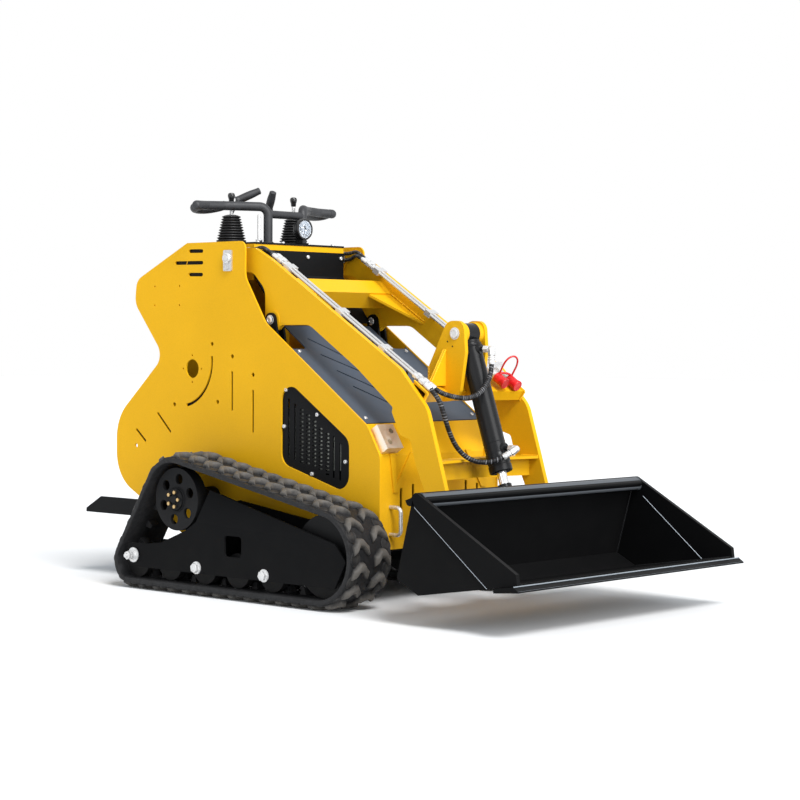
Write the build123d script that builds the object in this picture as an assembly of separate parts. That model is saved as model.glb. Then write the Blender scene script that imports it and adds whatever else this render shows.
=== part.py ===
from build123d import *
from math import sin, cos, tan, radians, degrees, atan2, hypot, pi, sqrt, asin
import os

# Stand-on mini track loader with bucket.  Millimetres.
# Part frame: +X towards the bucket, +Y to the machine's left, +Z up,
# origin on the ground in the middle of the whole machine's box.
# In the tables, x is measured from the drive wheel's axle and z from the ground.

# ---------------------------------------------------------------- sizes
platform_rear = 657.0        # drive axle to the rear edge of the ride-on platform
blade_front = 1504.0         # drive axle to the front of the cutting edge
axle_x = (platform_rear - blade_front) / 2      # drive axle in the part frame

# body shell
body_half = 280.0            # outer face of a side plate
plate_t = 6.0                # side plates
sheet_t = 4.0                # bent covers
body_front = 742.0           # front edge of the side plates
body_low = 170.0             # lower edge of the side plates
body_top = 1132.0
shoulder_x = 147.0           # front end of the side plates' top
hood_x0, hood_z0 = 242.0, 868.0     # upper end of the hood's slope
hood_x1, hood_z1 = 690.0, 553.0     # lower end of the hood's slope
brow_z = 463.0               # where the front panel turns upright
belly_x = -150.0             # rear end of the belly pan
fit = 0.3                    # seat between pieces of one body that do not touch

# tracks
track_w = 180.0
track_in = body_half + 5.0   # inner face of a track
belt_t = 16.0
lug_h = 18.0
pitch = 72.0
drive_z = 301.0
belt_r_drive = 118.0         # inside of the belt over the drive wheel
rear_x, roller_r = -210.0, 55.0
roller_z = lug_h + belt_t + roller_r
front_x, front_r = 652.0, 128.0
front_z = lug_h + belt_t + front_r
track_y = track_in + track_w / 2
disc_r = 101.0               # drive wheel's disc
frame_out = track_in + 170.0         # outer face of the track frame
frame_in = track_in + 20.0
frame_t = 8.0
axle_r = 22.0

# boom
arm_out = body_half - 34.0   # outer face of an arm
arm_t = 16.0
boom_x, boom_z = 69.0, 1078.0        # boom pivot
boom_pin_r = 17.5
lift_x, lift_z = 240.0, 878.0        # lift cylinder's pin on the arm
lift_pin_r = 12.5
lift_lug_r = 32.0
base_x, base_z = 350.0, 262.0        # lift cylinder's pin in the body
hinge_x, hinge_z = 985.0, 200.0      # bucket hinge
hinge_pin_r = 15.0
eye_x, eye_z = 846.0, 837.0          # tilt cylinder's upper pin
tilt_x, tilt_z = 1029.0, 293.0       # tilt rod's pin on the bucket's carrier
tilt_pin_r = 12.5
run_fit = 0.05               # running fit at a pin

# travel, degrees
lift_travel = 70.0
dump_travel = 95.0
curl_travel = 8.0

# cylinders
lift_bore_r, lift_rod_r, lift_barrel_l = 27.0, 14.0, 505.0
tilt_bore_r, tilt_rod_r, tilt_barrel_l = 34.0, 15.0, 448.0
tilt_eye_r = 23.0            # rod's eye
lug_boss = 2.0               # what the lift pin's boss stands proud of an arm, each side
fork_gap = 1.5               # side clearance of a rod's fork on its lug
fork_t = 8.0
fork_w = 46.0
fork_deep = 84.0             # from the fork's pin to its root
pin_head = 4.0

# bucket
bucket_half = 530.0
bucket_side_t = 8.0
bucket_sheet = 6.0
cutter_t = 6.0               # side cutters outside the bucket's sides
blade_half = 549.0
blade_t = 12.0
blade_deep = 88.0
blade_low = 134.0            # underside of the cutting edge at its front
blade_x0 = 1484.0            # lower front corner of the bucket's side
blade_z0 = 150.0
heel_x, heel_z = 1119.0, 93.0
back_x, back_z = 1035.0, 132.0
lip_x, lip_z = 1115.0, 385.0

os.makedirs("parts", exist_ok=True)
nodes = {}


def keep(name, *solids):
    """Collect solids under one node."""
    nodes.setdefault(name, []).extend(solids)


def rounded(table):
    """Closed face in the XZ plane from rows (x, z, corner radius)."""
    pts = [Vector(x, 0, z) for x, z, r in table]
    n = len(pts)
    edges = []
    last = None
    first = None
    for i, (x, z, r) in enumerate(table):
        p, a, b = pts[i], pts[i - 1], pts[(i + 1) % n]
        u, v = (a - p).normalized(), (b - p).normalized()
        if r <= 0:
            s = e = p
        else:
            half = radians(u.get_angle(v)) / 2
            cut = r / tan(half)
            s, e = p + u * cut, p + v * cut
            mid = p + (u + v).normalized() * (r / sin(half) - r)
        if last is not None and (s - last).length > 1e-6:
            edges.append(Line(last, s))
        if first is None:
            first = s
        if r > 0:
            edges.append(ThreePointArc(s, mid, e))
        last = e
    if (first - last).length > 1e-6:
        edges.append(Line(last, first))
    return make_face(Wire(edges))


def slab(table, y0, y1):
    """Rounded outline extruded along Y."""
    f = rounded(table)
    s = extrude(f, amount=abs(y1 - y0), dir=(0, 1, 0))
    return Pos(0, min(y0, y1), 0) * s


def bar_y(x, z, r, y0, y1):
    """Round bar along Y."""
    return Pos(x, (y0 + y1) / 2, z) * Rot(90, 0, 0) * Cylinder(r, abs(y1 - y0))


def block(x0, x1, y0, y1, z0, z1):
    return Pos((x0 + x1) / 2, (y0 + y1) / 2, (z0 + z1) / 2) * Box(abs(x1 - x0), abs(y1 - y0), abs(z1 - z0))


def bent(points, t, y0, y1):
    """Sheet of thickness t that follows points (x, z), to the left of the way."""
    n = len(points)
    off = []
    for i in range(n):
        x, z = points[i]
        ns = []
        for a, b in ((i - 1, i), (i, i + 1)):
            if a >= 0 and b < n:
                dx, dz = points[b][0] - points[a][0], points[b][1] - points[a][1]
                l = hypot(dx, dz)
                ns.append((-dz / l, dx / l))
        if len(ns) == 1:
            off.append((x + ns[0][0] * t, z + ns[0][1] * t))
        else:
            mx, mz = ns[0][0] + ns[1][0], ns[0][1] + ns[1][1]
            k = 2 * t / (mx * mx + mz * mz)
            off.append((x + mx * k, z + mz * k))
    return slab([(x, z, 0) for x, z in list(points) + off[::-1]], y0, y1)


def stadium_y(x0, z0, x1, z1, w, y0, y1):
    """Slot cutter between two centres in the XZ plane."""
    l = hypot(x1 - x0, z1 - z0)
    a = degrees(atan2(z1 - z0, x1 - x0))
    s = extrude(SlotCenterToCenter(l, w), amount=abs(y1 - y0))
    return Pos((x0 + x1) / 2, max(y0, y1), (z0 + z1) / 2) * Rot(90, 0, 0) * Rot(0, 0, a) * s


def turned(px, pz, x, z, deg):
    """Point (px, pz) turned about (x, z), front going up."""
    a = radians(deg)
    dx, dz = px - x, pz - z
    return x + dx * cos(a) - dz * sin(a), z + dx * sin(a) + dz * cos(a)


def mirrored(solid):
    return mirror(solid, about=Plane.XZ)


def swept(points, radii, r):
    path = FilletPolyline(*points, radius=radii) if len(points) > 2 else Polyline(*points)
    start = Plane(origin=path @ 0, z_dir=path % 0)
    return sweep(start * Circle(r), path=path)


def hose(points, r):
    """Tube through points by straight runs and tangent arcs as large as the runs allow."""
    v = [Vector(*p) for p in points]
    radii = []
    for a, b, c in zip(v, v[1:], v[2:]):
        turn = radians((b - a).get_angle(c - b))
        radii.append(0.45 * min((b - a).length, (c - b).length) / tan(turn / 2))
    print("hose radii", [round(x) for x in radii], "turns", [round((b - a).get_angle(c - b)) for a, b, c in zip(v, v[1:], v[2:])], "runs", [round((b - a).length) for a, b in zip(v, v[1:])])
    path = FilletPolyline(*points, radius=radii)
    tube = sweep(Plane(origin=path @ 0, z_dir=path % 0) * Circle(r), path=path)
    print("   volume", round(tube.volume), "section x length", round(pi * r * r * path.length), "length", round(path.length, 1))
    return tube


# ---------------------------------------------------------------- side plates
side_outline = [
    # x, z, corner radius
    (shoulder_x, body_top, 25), (shoulder_x, 1016, 60), (hood_x0, hood_z0, 60), (hood_x1, hood_z1, 60),
    (body_front, brow_z, 40), (body_front, body_low, 12), (belly_x, body_low, 60), (-487, 345, 140),
    (-487, 545, 150), (-247, 757, 50), (-392, 935, 60), (-384, 1013, 45), (-130, body_top, 15),
]
window = [(315, 706, 45), (613, 508, 45), (613, 340, 45), (315, 424, 45)]
side_slots = [
    # x0, z0, x1, z1, width
    (-117, 1105, -58, 1104, 12), (-184, 1067, -58, 1066, 12), (-118, 1028, -59, 1027, 12),
    (87, 708, 87, 588, 9), (185, 650, 185, 520, 9),
    (-275, 566, -213, 507, 9), (-383, 508, -339, 472, 9),
]
side_holes = [
    # x, z, radius
    (-291, 991, 3.3), (-168, 991, 3.3), (-291, 928, 3.3), (-168, 928, 3.3),
    (-104, 762, 3.3), (-148, 718, 3.3), (-60, 718, 3.3), (-104, 674, 3.3), (-104, 718, 31),
    (-9, 800, 7), (88, 760, 7), (185, 702, 7), (19, 611, 7), (-192, 598, 7), (-385, 454, 7),
]
arc_slot_table = (-158.7, 744.2, 149.6, 10.0, -80, 6)     # centre x, z, radius, width, angles


def arc_slot(cx, cz, r, w, a0, a1, y0, y1):
    pts = []
    for rr, rng in ((r + w / 2, (a0, (a0 + a1) / 2, a1)), (r - w / 2, (a1, (a0 + a1) / 2, a0))):
        pts.append([Vector(cx + rr * cos(radians(a)), 0, cz + rr * sin(radians(a))) for a in rng])
    f = make_face(Wire([ThreePointArc(*pts[0]), Line(pts[0][2], pts[1][0]), ThreePointArc(*pts[1]), Line(pts[1][2], pts[0][0])]))
    return Pos(0, min(y0, y1), 0) * extrude(f, amount=abs(y1 - y0), dir=(0, 1, 0))


def side_plate():
    y0, y1 = -body_half, -body_half + plate_t
    s = slab(side_outline, y0, y1)
    cut = [slab(window, y0 - 1, y1 + 1)]
    cut += [stadium_y(a, b, c, d, w, y0 - 1, y1 + 1) for a, b, c, d, w in side_slots]
    cut += [bar_y(x, z, r, y0 - 1, y1 + 1) for x, z, r in side_holes]
    cut.append(arc_slot(*arc_slot_table, y0 - 1, y1 + 1))
    cut.append(bar_y(boom_x, boom_z, boom_pin_r, y0 - 1, y1 + 1))
    return s - cut


right_plate = side_plate()
keep("side_plate_right", right_plate)
keep("side_plate_left", mirrored(right_plate))

# ---------------------------------------------------------------- covers between the side plates
inner = body_half - plate_t          # inner faces of the side plates
slope = atan2(hood_z0 - hood_z1, hood_x1 - hood_x0)
nx, nz = sin(slope), cos(slope)      # outward from the hood's slope

front_path = [(hood_x1 - 12, hood_z1 + 6), (body_front - 3, brow_z), (body_front - 3, body_low + plate_t)]
front_slots = [(-180, 361, 285), (-125, 372, 300), (125, 372, 300), (180, 361, 285)]     # y, z top, z bottom
rib_y, rib_low = 205.0, 360.0
front = bent(front_path, -sheet_t, -inner, inner)
for y, zt, zb in front_slots:
    front -= Pos(body_front - 3, y, (zt + zb) / 2) * Box(30, 11, zt - zb)
vee = Polyline((0, -235, 470), (0, -218, 350), (0, -196, 350), (0, -118, 470), (0, -142, 470), (0, -205, 376), (0, -212, 470), close=True)
vee_s = Pos(body_front - 3, 0, 0) * extrude(make_face(vee), amount=5, dir=(1, 0, 0))
front = front + [vee_s, mirrored(vee_s)]
keep("front_panel", front)

# valve block on the slope and two tie-down loops
mf_y0, mf_y1, mf_t = -(body_half - 12.0), -(body_half - 83.0), 34.0
mf_top = Vector(front_path[0][0], 0, front_path[0][1])
mf_dir = (Vector(front_path[1][0], 0, front_path[1][1]) - mf_top).normalized()
mf_out = Vector(-mf_dir.Z, 0, mf_dir.X)
mf = Plane(origin=Vector(mf_top.X, (mf_y0 + mf_y1) / 2, mf_top.Z), x_dir=tuple(mf_dir), z_dir=tuple(mf_out)) * (Pos(64, 0, mf_t / 2) * (Box(84, mf_y1 - mf_y0, mf_t) - [Pos(dx, dy, 10) * Cylinder(9, 40) for dx, dy in ((-18, 14), (20, -12))]))
keep("valve_block", mf)
tie_y0, tie_y1, tie_z0, tie_z1, tie_out, tie_r = body_half - 79.0, body_half - 22.0, 222.0, 306.0, 44.0, 6.0
ties = []
for s in (-1, 1):
    ym = s * (tie_y0 + tie_y1) / 2
    ties.append(swept([(body_front - 3, ym, tie_z0), (body_front - 3 + tie_out, ym, tie_z0), (body_front - 3 + tie_out, ym, tie_z1), (body_front - 3, ym, tie_z1)], [16, 16], tie_r))
keep("tie_downs", *ties)

keep("belly_pan", block(belly_x + 20, body_front - 3 - sheet_t, -inner, inner, body_low, body_low + plate_t))

rear_path = [(-215, 235), (-215, 880), (-128, 1095)]
rear = bent(rear_path, -sheet_t, -inner, inner)
keep("rear_panel", rear)

# hood: flat on the slope between the side plates, slotted on both sides
hood_sink = 4.0
hood_a = (hood_x0 + 6 - nx * hood_sink, hood_z0 - nz * hood_sink - 4)
hood_b = (hood_x1 - 14 - nx * hood_sink, hood_z1 + 12 - nz * hood_sink)
hood = bent([hood_b, hood_a], sheet_t, -inner, inner)
hood_slots = [
    # y and distance down the slope of both ends, from the slope's upper end
    (-151, 82, -73, 170), (-164, 170, -60, 264), (-164, 257, -67, 355), (-162, 342, -70, 440),
]
for ya, da, yb, db in hood_slots:
    for side in (1, -1):
        ca = Vector(hood_x0 + da * cos(slope), side * ya, hood_z0 - da * sin(slope))
        cb = Vector(hood_x0 + db * cos(slope), side * yb, hood_z0 - db * sin(slope))
        d = cb - ca
        pl = Plane(origin=(ca + cb) / 2, x_dir=d.normalized(), z_dir=(nx, 0, nz))
        hood -= pl * extrude(SlotCenterToCenter(d.length, 8), amount=20, both=True)
# openings for the lift cylinders at the hood's upper corners
for side in (1, -1):
    pl = Plane(origin=Vector(hood_x0, side * (arm_out - arm_t / 2), hood_z0), x_dir=(cos(slope), 0, -sin(slope)), z_dir=(nx, 0, nz))
    hood -= pl * Pos(35, 0, 0) * extrude(RectangleRounded(204, 74, 18), amount=25, both=True)
keep("hood", hood)

# console between the arms
con_x0, con_x1 = -118.0, 115.0
con_half = arm_out - arm_t - 21.0
con_low = 1008.0             # lower edge of the console's sides
con_z = body_top - 6
strip_h = 18.0               # front strip under the cover
console = block(con_x0, con_x1, -con_half, con_half, con_low, con_z)
console -= block(con_x0 + sheet_t, con_x1 - sheet_t, -con_half + sheet_t, con_half - sheet_t, con_low - 1, con_z - sheet_t)
console -= block(con_x1 - sheet_t - 1, con_x1 + 1, -con_half - 1, con_half + 1, con_low - 1, con_z - strip_h)
console -= block(con_x0 - 1, con_x0 + sheet_t + 1, -con_half - 1, con_half + 1, con_low - 1, con_z - 40)
for side in (1, -1):
    console -= bar_y(boom_x, boom_z, boom_pin_r + 0.05, side * (con_half - sheet_t - 1), side * (con_half + 1))
keep("console_frame", console)
keep("console_cover", block(con_x0 - 4, con_x1 + 2, -con_half, con_half, con_z, body_top))
# black front of the console down to the hood, in front of the console's sides
dash_path = [(con_x1, con_z - strip_h), (con_x1, 1028), (hood_x0 - 1, hood_z0 + 4)]
dash = bent(dash_path, -sheet_t, -con_half, con_half)
keep("console_front", dash)

# ---------------------------------------------------------------- grilles
grille_t = 2.5
gy1 = -inner
gy0 = gy1 + grille_t
grille_outline = [(x + dx, z + dz, r + 12) for (x, z, r), (dx, dz) in zip(window, ((-14, 16), (14, 10), (14, -16), (-14, -12)))]
grille_long = [(343, 627, 446), (371, 611, 439), (541, 513, 391), (569, 492, 384)]      # x, z top, z bottom
grille_cols = [(400, 595, 429), (429, 579, 425), (457, 560, 415), (484, 538, 410), (514, 523, 398)]
grille_pitch, grille_slot_w, grille_slot_h = 12.5, 15.0, 5.5
grille = slab(grille_outline, gy0, gy1)
cuts = [stadium_y(x, zt, x, zb, 8, gy0 + 1, gy1 - 1) for x, zt, zb in grille_long]
for x, zt, zb in grille_cols:
    n = int((zt - zb) / grille_pitch)
    for i in range(n + 1):
        cuts.append(Pos(x, (gy0 + gy1) / 2, zt - i * grille_pitch) * Box(grille_slot_w, grille_t + 2, grille_slot_h))
grille = grille - cuts
keep("grilles", grille, mirrored(grille))

# ---------------------------------------------------------------- engine and platform
keep("engine_block", block(20, 330, -(arm_out - 61), arm_out - 61, body_low + plate_t, 600))

deck_t, deck_z = 6.0, 214.0
deck_half = body_half - 6
deck = block(-platform_rear, -215 - sheet_t - fit, -deck_half, deck_half, deck_z, deck_z + deck_t)
deck_side = [(-platform_rear, deck_z + deck_t, 0), (-platform_rear, deck_z + 13, 0), (-579, 271, 0), (-300, 271, 0), (-300, deck_z + deck_t, 0)]
flange = slab(deck_side, -deck_half, -deck_half + deck_t)
platform = deck + [flange, mirrored(flange)]
keep("platform", platform)

# ---------------------------------------------------------------- controls
tube_r = 15.0
post_x, post_y, bend_z = 46.0, 80.0, body_top + 118.0
cross_z = body_top + 98.0
handle_path = [(post_x, post_y, body_top), (post_x, post_y, bend_z + 4), (-42, 190, bend_z + 6), (-56, 262, bend_z + 4), (-44, 318, bend_z + 2)]
handle_radii = [30, 60, 34]


right_handle = swept([(x, -y, z) for x, y, z in handle_path], handle_radii, tube_r)
cross_bar = bar_y(post_x, cross_z, 13, -post_y, post_y)
keep("handlebar", right_handle + [mirrored(right_handle), cross_bar])

stick_x, stick_y = -62.0, con_half - 64.0
boot_folds, boot_r0, boot_r1, boot_h = 7, 48.0, 27.0, 92.0
boot_pts = [(0, 0), (boot_r0 + 4, 0), (boot_r0 + 4, 4)]
for i in range(boot_folds):
    k0, k1 = (i + 0.45) / boot_folds, (i + 1) / boot_folds
    boot_pts.append((boot_r0 + (boot_r1 - boot_r0) * k0 + 3, 4 + boot_h * k0))
    boot_pts.append((boot_r0 + (boot_r1 - boot_r0) * k1 - 4, 4 + boot_h * k1))
boot_pts.append((0, 4 + boot_h))
boot = revolve(make_face(Polyline(*[(r, 0, h) for r, h in boot_pts], close=True)), axis=Axis.Z)
stick = boot + [Pos(0, 0, 118) * Cylinder(6, 56), Pos(0, 0, 150) * Cylinder(9, 22), Pos(0, 0, 158) * Sphere(12)]
stick = Pos(stick_x, -stick_y, body_top) * stick
keep("joysticks", stick, mirrored(stick))

# two travel levers, each a rod with a grip that leans forward
lever_rows = [
    # foot x, y, z, grip's lower end x, y, z, grip's upper end x, y, z
    (-206, -87, body_top - 22, -124, -60, body_top + 151, -78, 0, body_top + 185), (-84, 52, body_top, -75, 40, body_top + 126, -44, 30, body_top + 180),
]
lever_r, grip_r = 6.0, 11.5
levers = []
for fx, fy, fz, ax, ay, az, tx, ty, tz in lever_rows:
    foot, low_end, tip = Vector(fx, fy, fz), Vector(ax, ay, az), Vector(tx, ty, tz)
    g = tip - low_end
    r = low_end - foot
    lever = Plane(origin=foot, z_dir=r) * Pos(0, 0, r.length / 2) * Cylinder(lever_r, r.length)
    lever = lever + [Pos(*low_end) * Sphere(lever_r), Plane(origin=low_end, z_dir=g) * Pos(0, 0, g.length / 2) * Cylinder(grip_r, g.length)]
    if fz < body_top:       # cranked lever, pivoted in the console's rear edge
        lever = lever + [Pos(*foot) * Sphere(lever_r), Pos((fx + con_x0) / 2, fy, fz) * Rot(0, 90, 0) * Cylinder(lever_r, con_x0 - fx), Pos(con_x0 - 5, fy, fz) * Rot(0, 90, 0) * Cylinder(13, 10)]
    else:
        lever = lever + Pos(fx, fy, body_top + 5) * Cylinder(17, 10) - Pos(0, 0, body_top - 100) * Box(800, 800, 200)
    levers.append(lever)
keep("levers", *levers)
rod_x, rod_y, rod_top = 43.0, -118.0, body_top + 94.0
keep("levers", Pos(rod_x, rod_y, (body_top + rod_top) / 2) * Cylinder(5, rod_top - body_top) + Pos(rod_x, rod_y, body_top + 5) * Cylinder(11, 10))

lamp_x, lamp_y, lamp_z, lamp_r = 92.0, 36.0, body_top + 51.0, 34.0
lamp = Pos(lamp_x, lamp_y, lamp_z) * Rot(0, 90, 0) * (Cylinder(lamp_r, 14) + Pos(0, 0, -15) * Cone(20, lamp_r - 2, 18))
lamp_stay = block(lamp_x - 21, lamp_x - 15, lamp_y - 13, lamp_y + 13, body_top, lamp_z) + block(lamp_x - 27, lamp_x + 14, lamp_y - 15, lamp_y + 15, body_top, body_top + 5)
keep("work_lamp", lamp + lamp_stay)

# ---------------------------------------------------------------- tracks
wheels = [
    # x, z, inner radius of the belt, from the rear round the top
    (rear_x, roller_z, roller_r), (0.0, drive_z, belt_r_drive), (front_x, front_z, front_r),
]


def loop_ends(extra):
    """Straight runs round the three wheels at radius + extra, each with its outward angle."""
    order = [(x, z, r + extra) for x, z, r in wheels]
    n = len(order)
    ends = []
    for i in range(n):
        (xa, za, ra), (xb, zb, rb) = order[i], order[(i + 1) % n]
        l = hypot(xb - xa, zb - za)
        ang = atan2(zb - za, xb - xa) + pi / 2 + asin((rb - ra) / l)
        ux, uz = cos(ang), sin(ang)
        ends.append(((xa + ra * ux, za + ra * uz), (xb + rb * ux, zb + rb * uz), ang))
    return ends, order


def arcs(ends, order):
    """Centre, radius, first and last angle of each wheel's arc."""
    rows = []
    n = len(order)
    for i in range(n):
        a0, a1 = ends[i][2], ends[(i + 1) % n][2]
        while a1 > a0:
            a1 -= 2 * pi
        rows.append(order[(i + 1) % n] + (a0, a1))
    return rows


def loop_face(extra):
    ends, order = loop_ends(extra)
    edges = []
    for i, (x, z, r, a0, a1) in enumerate(arcs(ends, order)):
        a, b, ang = ends[i]
        c = ends[(i + 1) % len(order)][0]
        am = (a0 + a1) / 2
        edges.append(Line((a[0], 0, a[1]), (b[0], 0, b[1])))
        edges.append(ThreePointArc((b[0], 0, b[1]), (x + r * cos(am), 0, z + r * sin(am)), (c[0], 0, c[1])))
    return make_face(Wire(edges))


def loop_length(extra):
    ends, order = loop_ends(extra)
    return sum(hypot(b[0] - a[0], b[1] - a[1]) for a, b, ang in ends) + sum((a0 - a1) * r for x, z, r, a0, a1 in arcs(ends, order))


def along(s, extra):
    """Point and outward angle at length s along the loop."""
    ends, order = loop_ends(extra)
    rows = arcs(ends, order)
    while True:
        for (a, b, ang), (x, z, r, a0, a1) in zip(ends, rows):
            l = hypot(b[0] - a[0], b[1] - a[1])
            if s < l:
                k = s / l
                return a[0] + (b[0] - a[0]) * k, a[1] + (b[1] - a[1]) * k, ang
            s -= l
            l = (a0 - a1) * r
            if s < l:
                t = a0 - s / r
                return x + r * cos(t), z + r * sin(t), t
            s -= l


n_lugs = round(loop_length(belt_t) / pitch)
track_rows = [
    # y from the track's middle, width, base length, top length, height, shift in pitches, 1 outside or 0 inside
    (-45, 66, 46, 26, lug_h, 0.0, 1), (45, 66, 46, 26, lug_h, 0.5, 1), (0, 36, 26, 12, 22.0, 0.5, 0),
]
sink = 2.0
belt = extrude(loop_face(belt_t), amount=track_w, dir=(0, 1, 0)) - extrude(loop_face(0.0), amount=track_w, dir=(0, 1, 0))
belt = Pos(0, -track_y - track_w / 2, 0) * belt
lugs = []
for dy, w, lb, lt, h, shift, outside in track_rows:
    k = 1 if outside else -1
    prof = Polyline((-lb / 2, 0, -sink * k), (lb / 2, 0, -sink * k), (lt / 2, 0, h * k), (-lt / 2, 0, h * k), close=True)
    one = Pos(0, dy - w / 2, 0) * extrude(make_face(prof), amount=w, dir=(0, 1, 0))
    extra = belt_t if outside else 0.0
    for i in range(n_lugs):
        x, z, ang = along((i + shift) / n_lugs * loop_length(extra), extra)
        lugs.append(Pos(x, -track_y, z) * Rot(0, 90 - degrees(ang), 0) * one)
track = belt + lugs
track -= block(-2000, 2000, -1000, 1000, -50, 0)
keep("track_right", track)
keep("track_left", mirrored(track))

# ---------------------------------------------------------------- track frames
frame_outline = [
    # x, z, corner radius
    (-222, 150, 6), (-130, 150, 6), (-60, 158, 30), (60, 205, 50), (108, 235, 4), (722, 206, 4), (768, 156, 10), (722, 72, 8), (-150, 72, 8), (-222, 76, 6),
]
bevel_in = frame_out - 27.0             # where the bevel meets its ridge
bevel = [(108, frame_out, 235), (722, frame_out, 206), (722, frame_out - 4, 206), (144, bevel_in, 337)]
frame_window = [(240, 201, 12), (318, 201, 12), (318, 135, 12), (240, 135, 12)]
frame_web_x = [189, 343, 500]        # cross webs between the rollers
web_z0, web_z1 = 76.0, 196.0


def track_frame():
    outer = slab(frame_outline, -frame_out, -frame_out + frame_t)
    inner_side = slab(frame_outline[:4] + [(150, 300, 20), (520, 250, 20)] + frame_outline[6:], -frame_in - frame_t, -frame_in)
    outer -= slab(frame_window, -frame_out - 1, -frame_out + frame_t + 1)
    tri = make_face(Polyline(*[(x, -y, z) for x, y, z in (bevel[0], bevel[1], bevel[3])], close=True))
    slope_plate = extrude(tri, amount=frame_t, dir=(0, 1, 0))
    webs = [block(x, x + frame_t, -frame_out + 1, -frame_in - 1, web_z0, web_z1) for x in frame_web_x]
    nuts = [bar_y(x, z, r, -frame_out - h, -frame_out + 1) for x, z, r, h in ((-212 + 24, 110, 20, 4), (-188, 110, 13, 16), (113, 90, 13, 9), (421, 89, 13, 9))]
    stubs = [bar_y(x, z, r, -body_half, -frame_in - 1) for x, z, r in stub_rows]
    return outer + [inner_side, slope_plate] + webs + nuts + stubs


stub_rows = [(215, 245, 24), (560, 205, 24)]        # axles to the side plates: x, z, radius
frame = track_frame()
keep("track_frames", frame, mirrored(frame))

# ---------------------------------------------------------------- drive wheels
disc_y = -(frame_out - 15.0)
disc_t = 12.0
disc = bar_y(0, drive_z, disc_r, disc_y, disc_y + disc_t)
for i in range(6):
    a = radians(60 * i + 20)
    disc -= bar_y(66 * cos(a), drive_z + 66 * sin(a), 17, disc_y - 1, disc_y + disc_t + 1)
rim = bar_y(0, drive_z, disc_r, disc_y, disc_y + 40) - bar_y(0, drive_z, disc_r - 8, disc_y - 1, disc_y + 41)
hub = bar_y(0, drive_z, 34, disc_y - 8, -body_half)
hub_bolts = [bar_y(24 * cos(radians(72 * i)), drive_z + 24 * sin(radians(72 * i)), 5, disc_y - 14, disc_y - 7) for i in range(5)]
drive = disc + [rim, hub] + hub_bolts
keep("drive_wheels", drive, mirrored(drive))

# idlers and rollers: two rims on a hub, clear of the track's teeth
rim_w, roll_half = 24.0, 45.0
rollers = [
    # x, z, radius
    (rear_x, roller_z, roller_r), (-52, roller_z, roller_r), (113, roller_z, roller_r), (265, roller_z, roller_r), (421, roller_z, roller_r), (front_x, front_z, front_r),
]
rolls = []
for x, z, r in rollers:
    r = r - fit
    hub_r = max(r - 28, 22)
    w = bar_y(x, z, hub_r, -track_y - roll_half, -track_y + roll_half)
    w = w + [bar_y(x, z, r, -track_y + s * roll_half, -track_y + s * (roll_half - rim_w)) for s in (-1, 1)]
    w = w + bar_y(x, z, 12, -frame_out + frame_t, -frame_in - frame_t)
    rolls.append(w)
keep("rollers", *rolls, *[mirrored(w) for w in rolls])

# ---------------------------------------------------------------- boom
O = (boom_x, boom_z)
P = (lift_x, lift_z)
H = (hinge_x, hinge_z)
arm_in = arm_out - arm_t
arm_mid = (arm_out + arm_in) / 2
arm_outline = [
    # x, z, corner radius
    (boom_x - 36, 1114, 34), (155, 1111, 60), (233, 1071, 40), (790, 729, 60), (900, 612, 90), (945, 470, 60),
    (hinge_x + 40, 212, 10), (hinge_x + 40, hinge_z - 40, 39), (hinge_x - 40, hinge_z - 40, 39), (hinge_x - 40, 250, 30),
    (858, 440, 20), (834, 516, 14), (794, 528, 20), (757, 600, 12), (765, 610, 8),
    (612, 729, 60), (405, 862, 60), (275, 862, 30), (262, 844, 20), (206, 846, 32), (206, 975, 60), (150, 1030, 40), (boom_x - 36, 1042, 34),
]


def arm():
    y0, y1 = -arm_out, -arm_in
    s = slab(arm_outline, y0, y1)
    s = s + [bar_y(*O, 36, y0 - 14, y1 + 3), bar_y(*P, lift_lug_r, y0 - lug_boss, y1 + lug_boss), bar_y(*H, 38, y0 - 6, y1)]
    s -= bar_y(*O, boom_pin_r + run_fit, y0 - 20, y1 + 20)
    s -= bar_y(*H, hinge_pin_r + run_fit, y0 - 20, y1 + 20)
    s -= bar_y(*P, lift_pin_r, y0 - 20, y1 + 20)
    return s


right_arm = arm()
keep("arm_right", right_arm)
keep("arm_left", mirrored(right_arm))

# upper cross tube, turned with the arms' slope, with a gusset at each end
tube_w, tube_wall = 65.0, 6.0
ux, uz, u_turn = 272.0, 967.0, 40.7
gus_x, gus_z = 318.0, 966.0
gus_len, gus_y, gus_t = 178.0, 105.0, 8.0
along_arm = Vector(cos(radians(31.6)), 0, -sin(radians(31.6)))
above_arm = Vector(sin(radians(31.6)), 0, cos(radians(31.6)))
sec = Rectangle(tube_w, tube_w) - Rectangle(tube_w - 2 * tube_wall, tube_w - 2 * tube_wall)
up = Plane(origin=(ux, -arm_in, uz), x_dir=(cos(radians(u_turn)), 0, -sin(radians(u_turn))), z_dir=(0, 1, 0)) * extrude(sec, amount=2 * arm_in)
corner = Vector(gus_x - 4, 0, gus_z)
tri = [corner + Vector(0, -arm_in, 0), corner + along_arm * gus_len + Vector(0, -arm_in, 0), corner + along_arm * (gus_len - 8) + Vector(0, -arm_in + 8, 0), corner + Vector(0, -arm_in + gus_y, 0)]
gus = extrude(make_face(Polyline(*tri, close=True)), amount=gus_t, dir=tuple(-above_arm))
up = up + [gus, mirrored(gus)]
keep("upper_crossmember", up)

# lower cross member: two beams that run back from the arms to the tilt cylinder's ears
low_sec = [(836, 692), (890, 656.5), (870.5, 628), (816, 664)]      # x, z at an arm
low_wall = 6.0
ear_in, ear_t = 42.0, 14.0
low_back = 0.42              # how far the beams run back per mm inward


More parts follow.
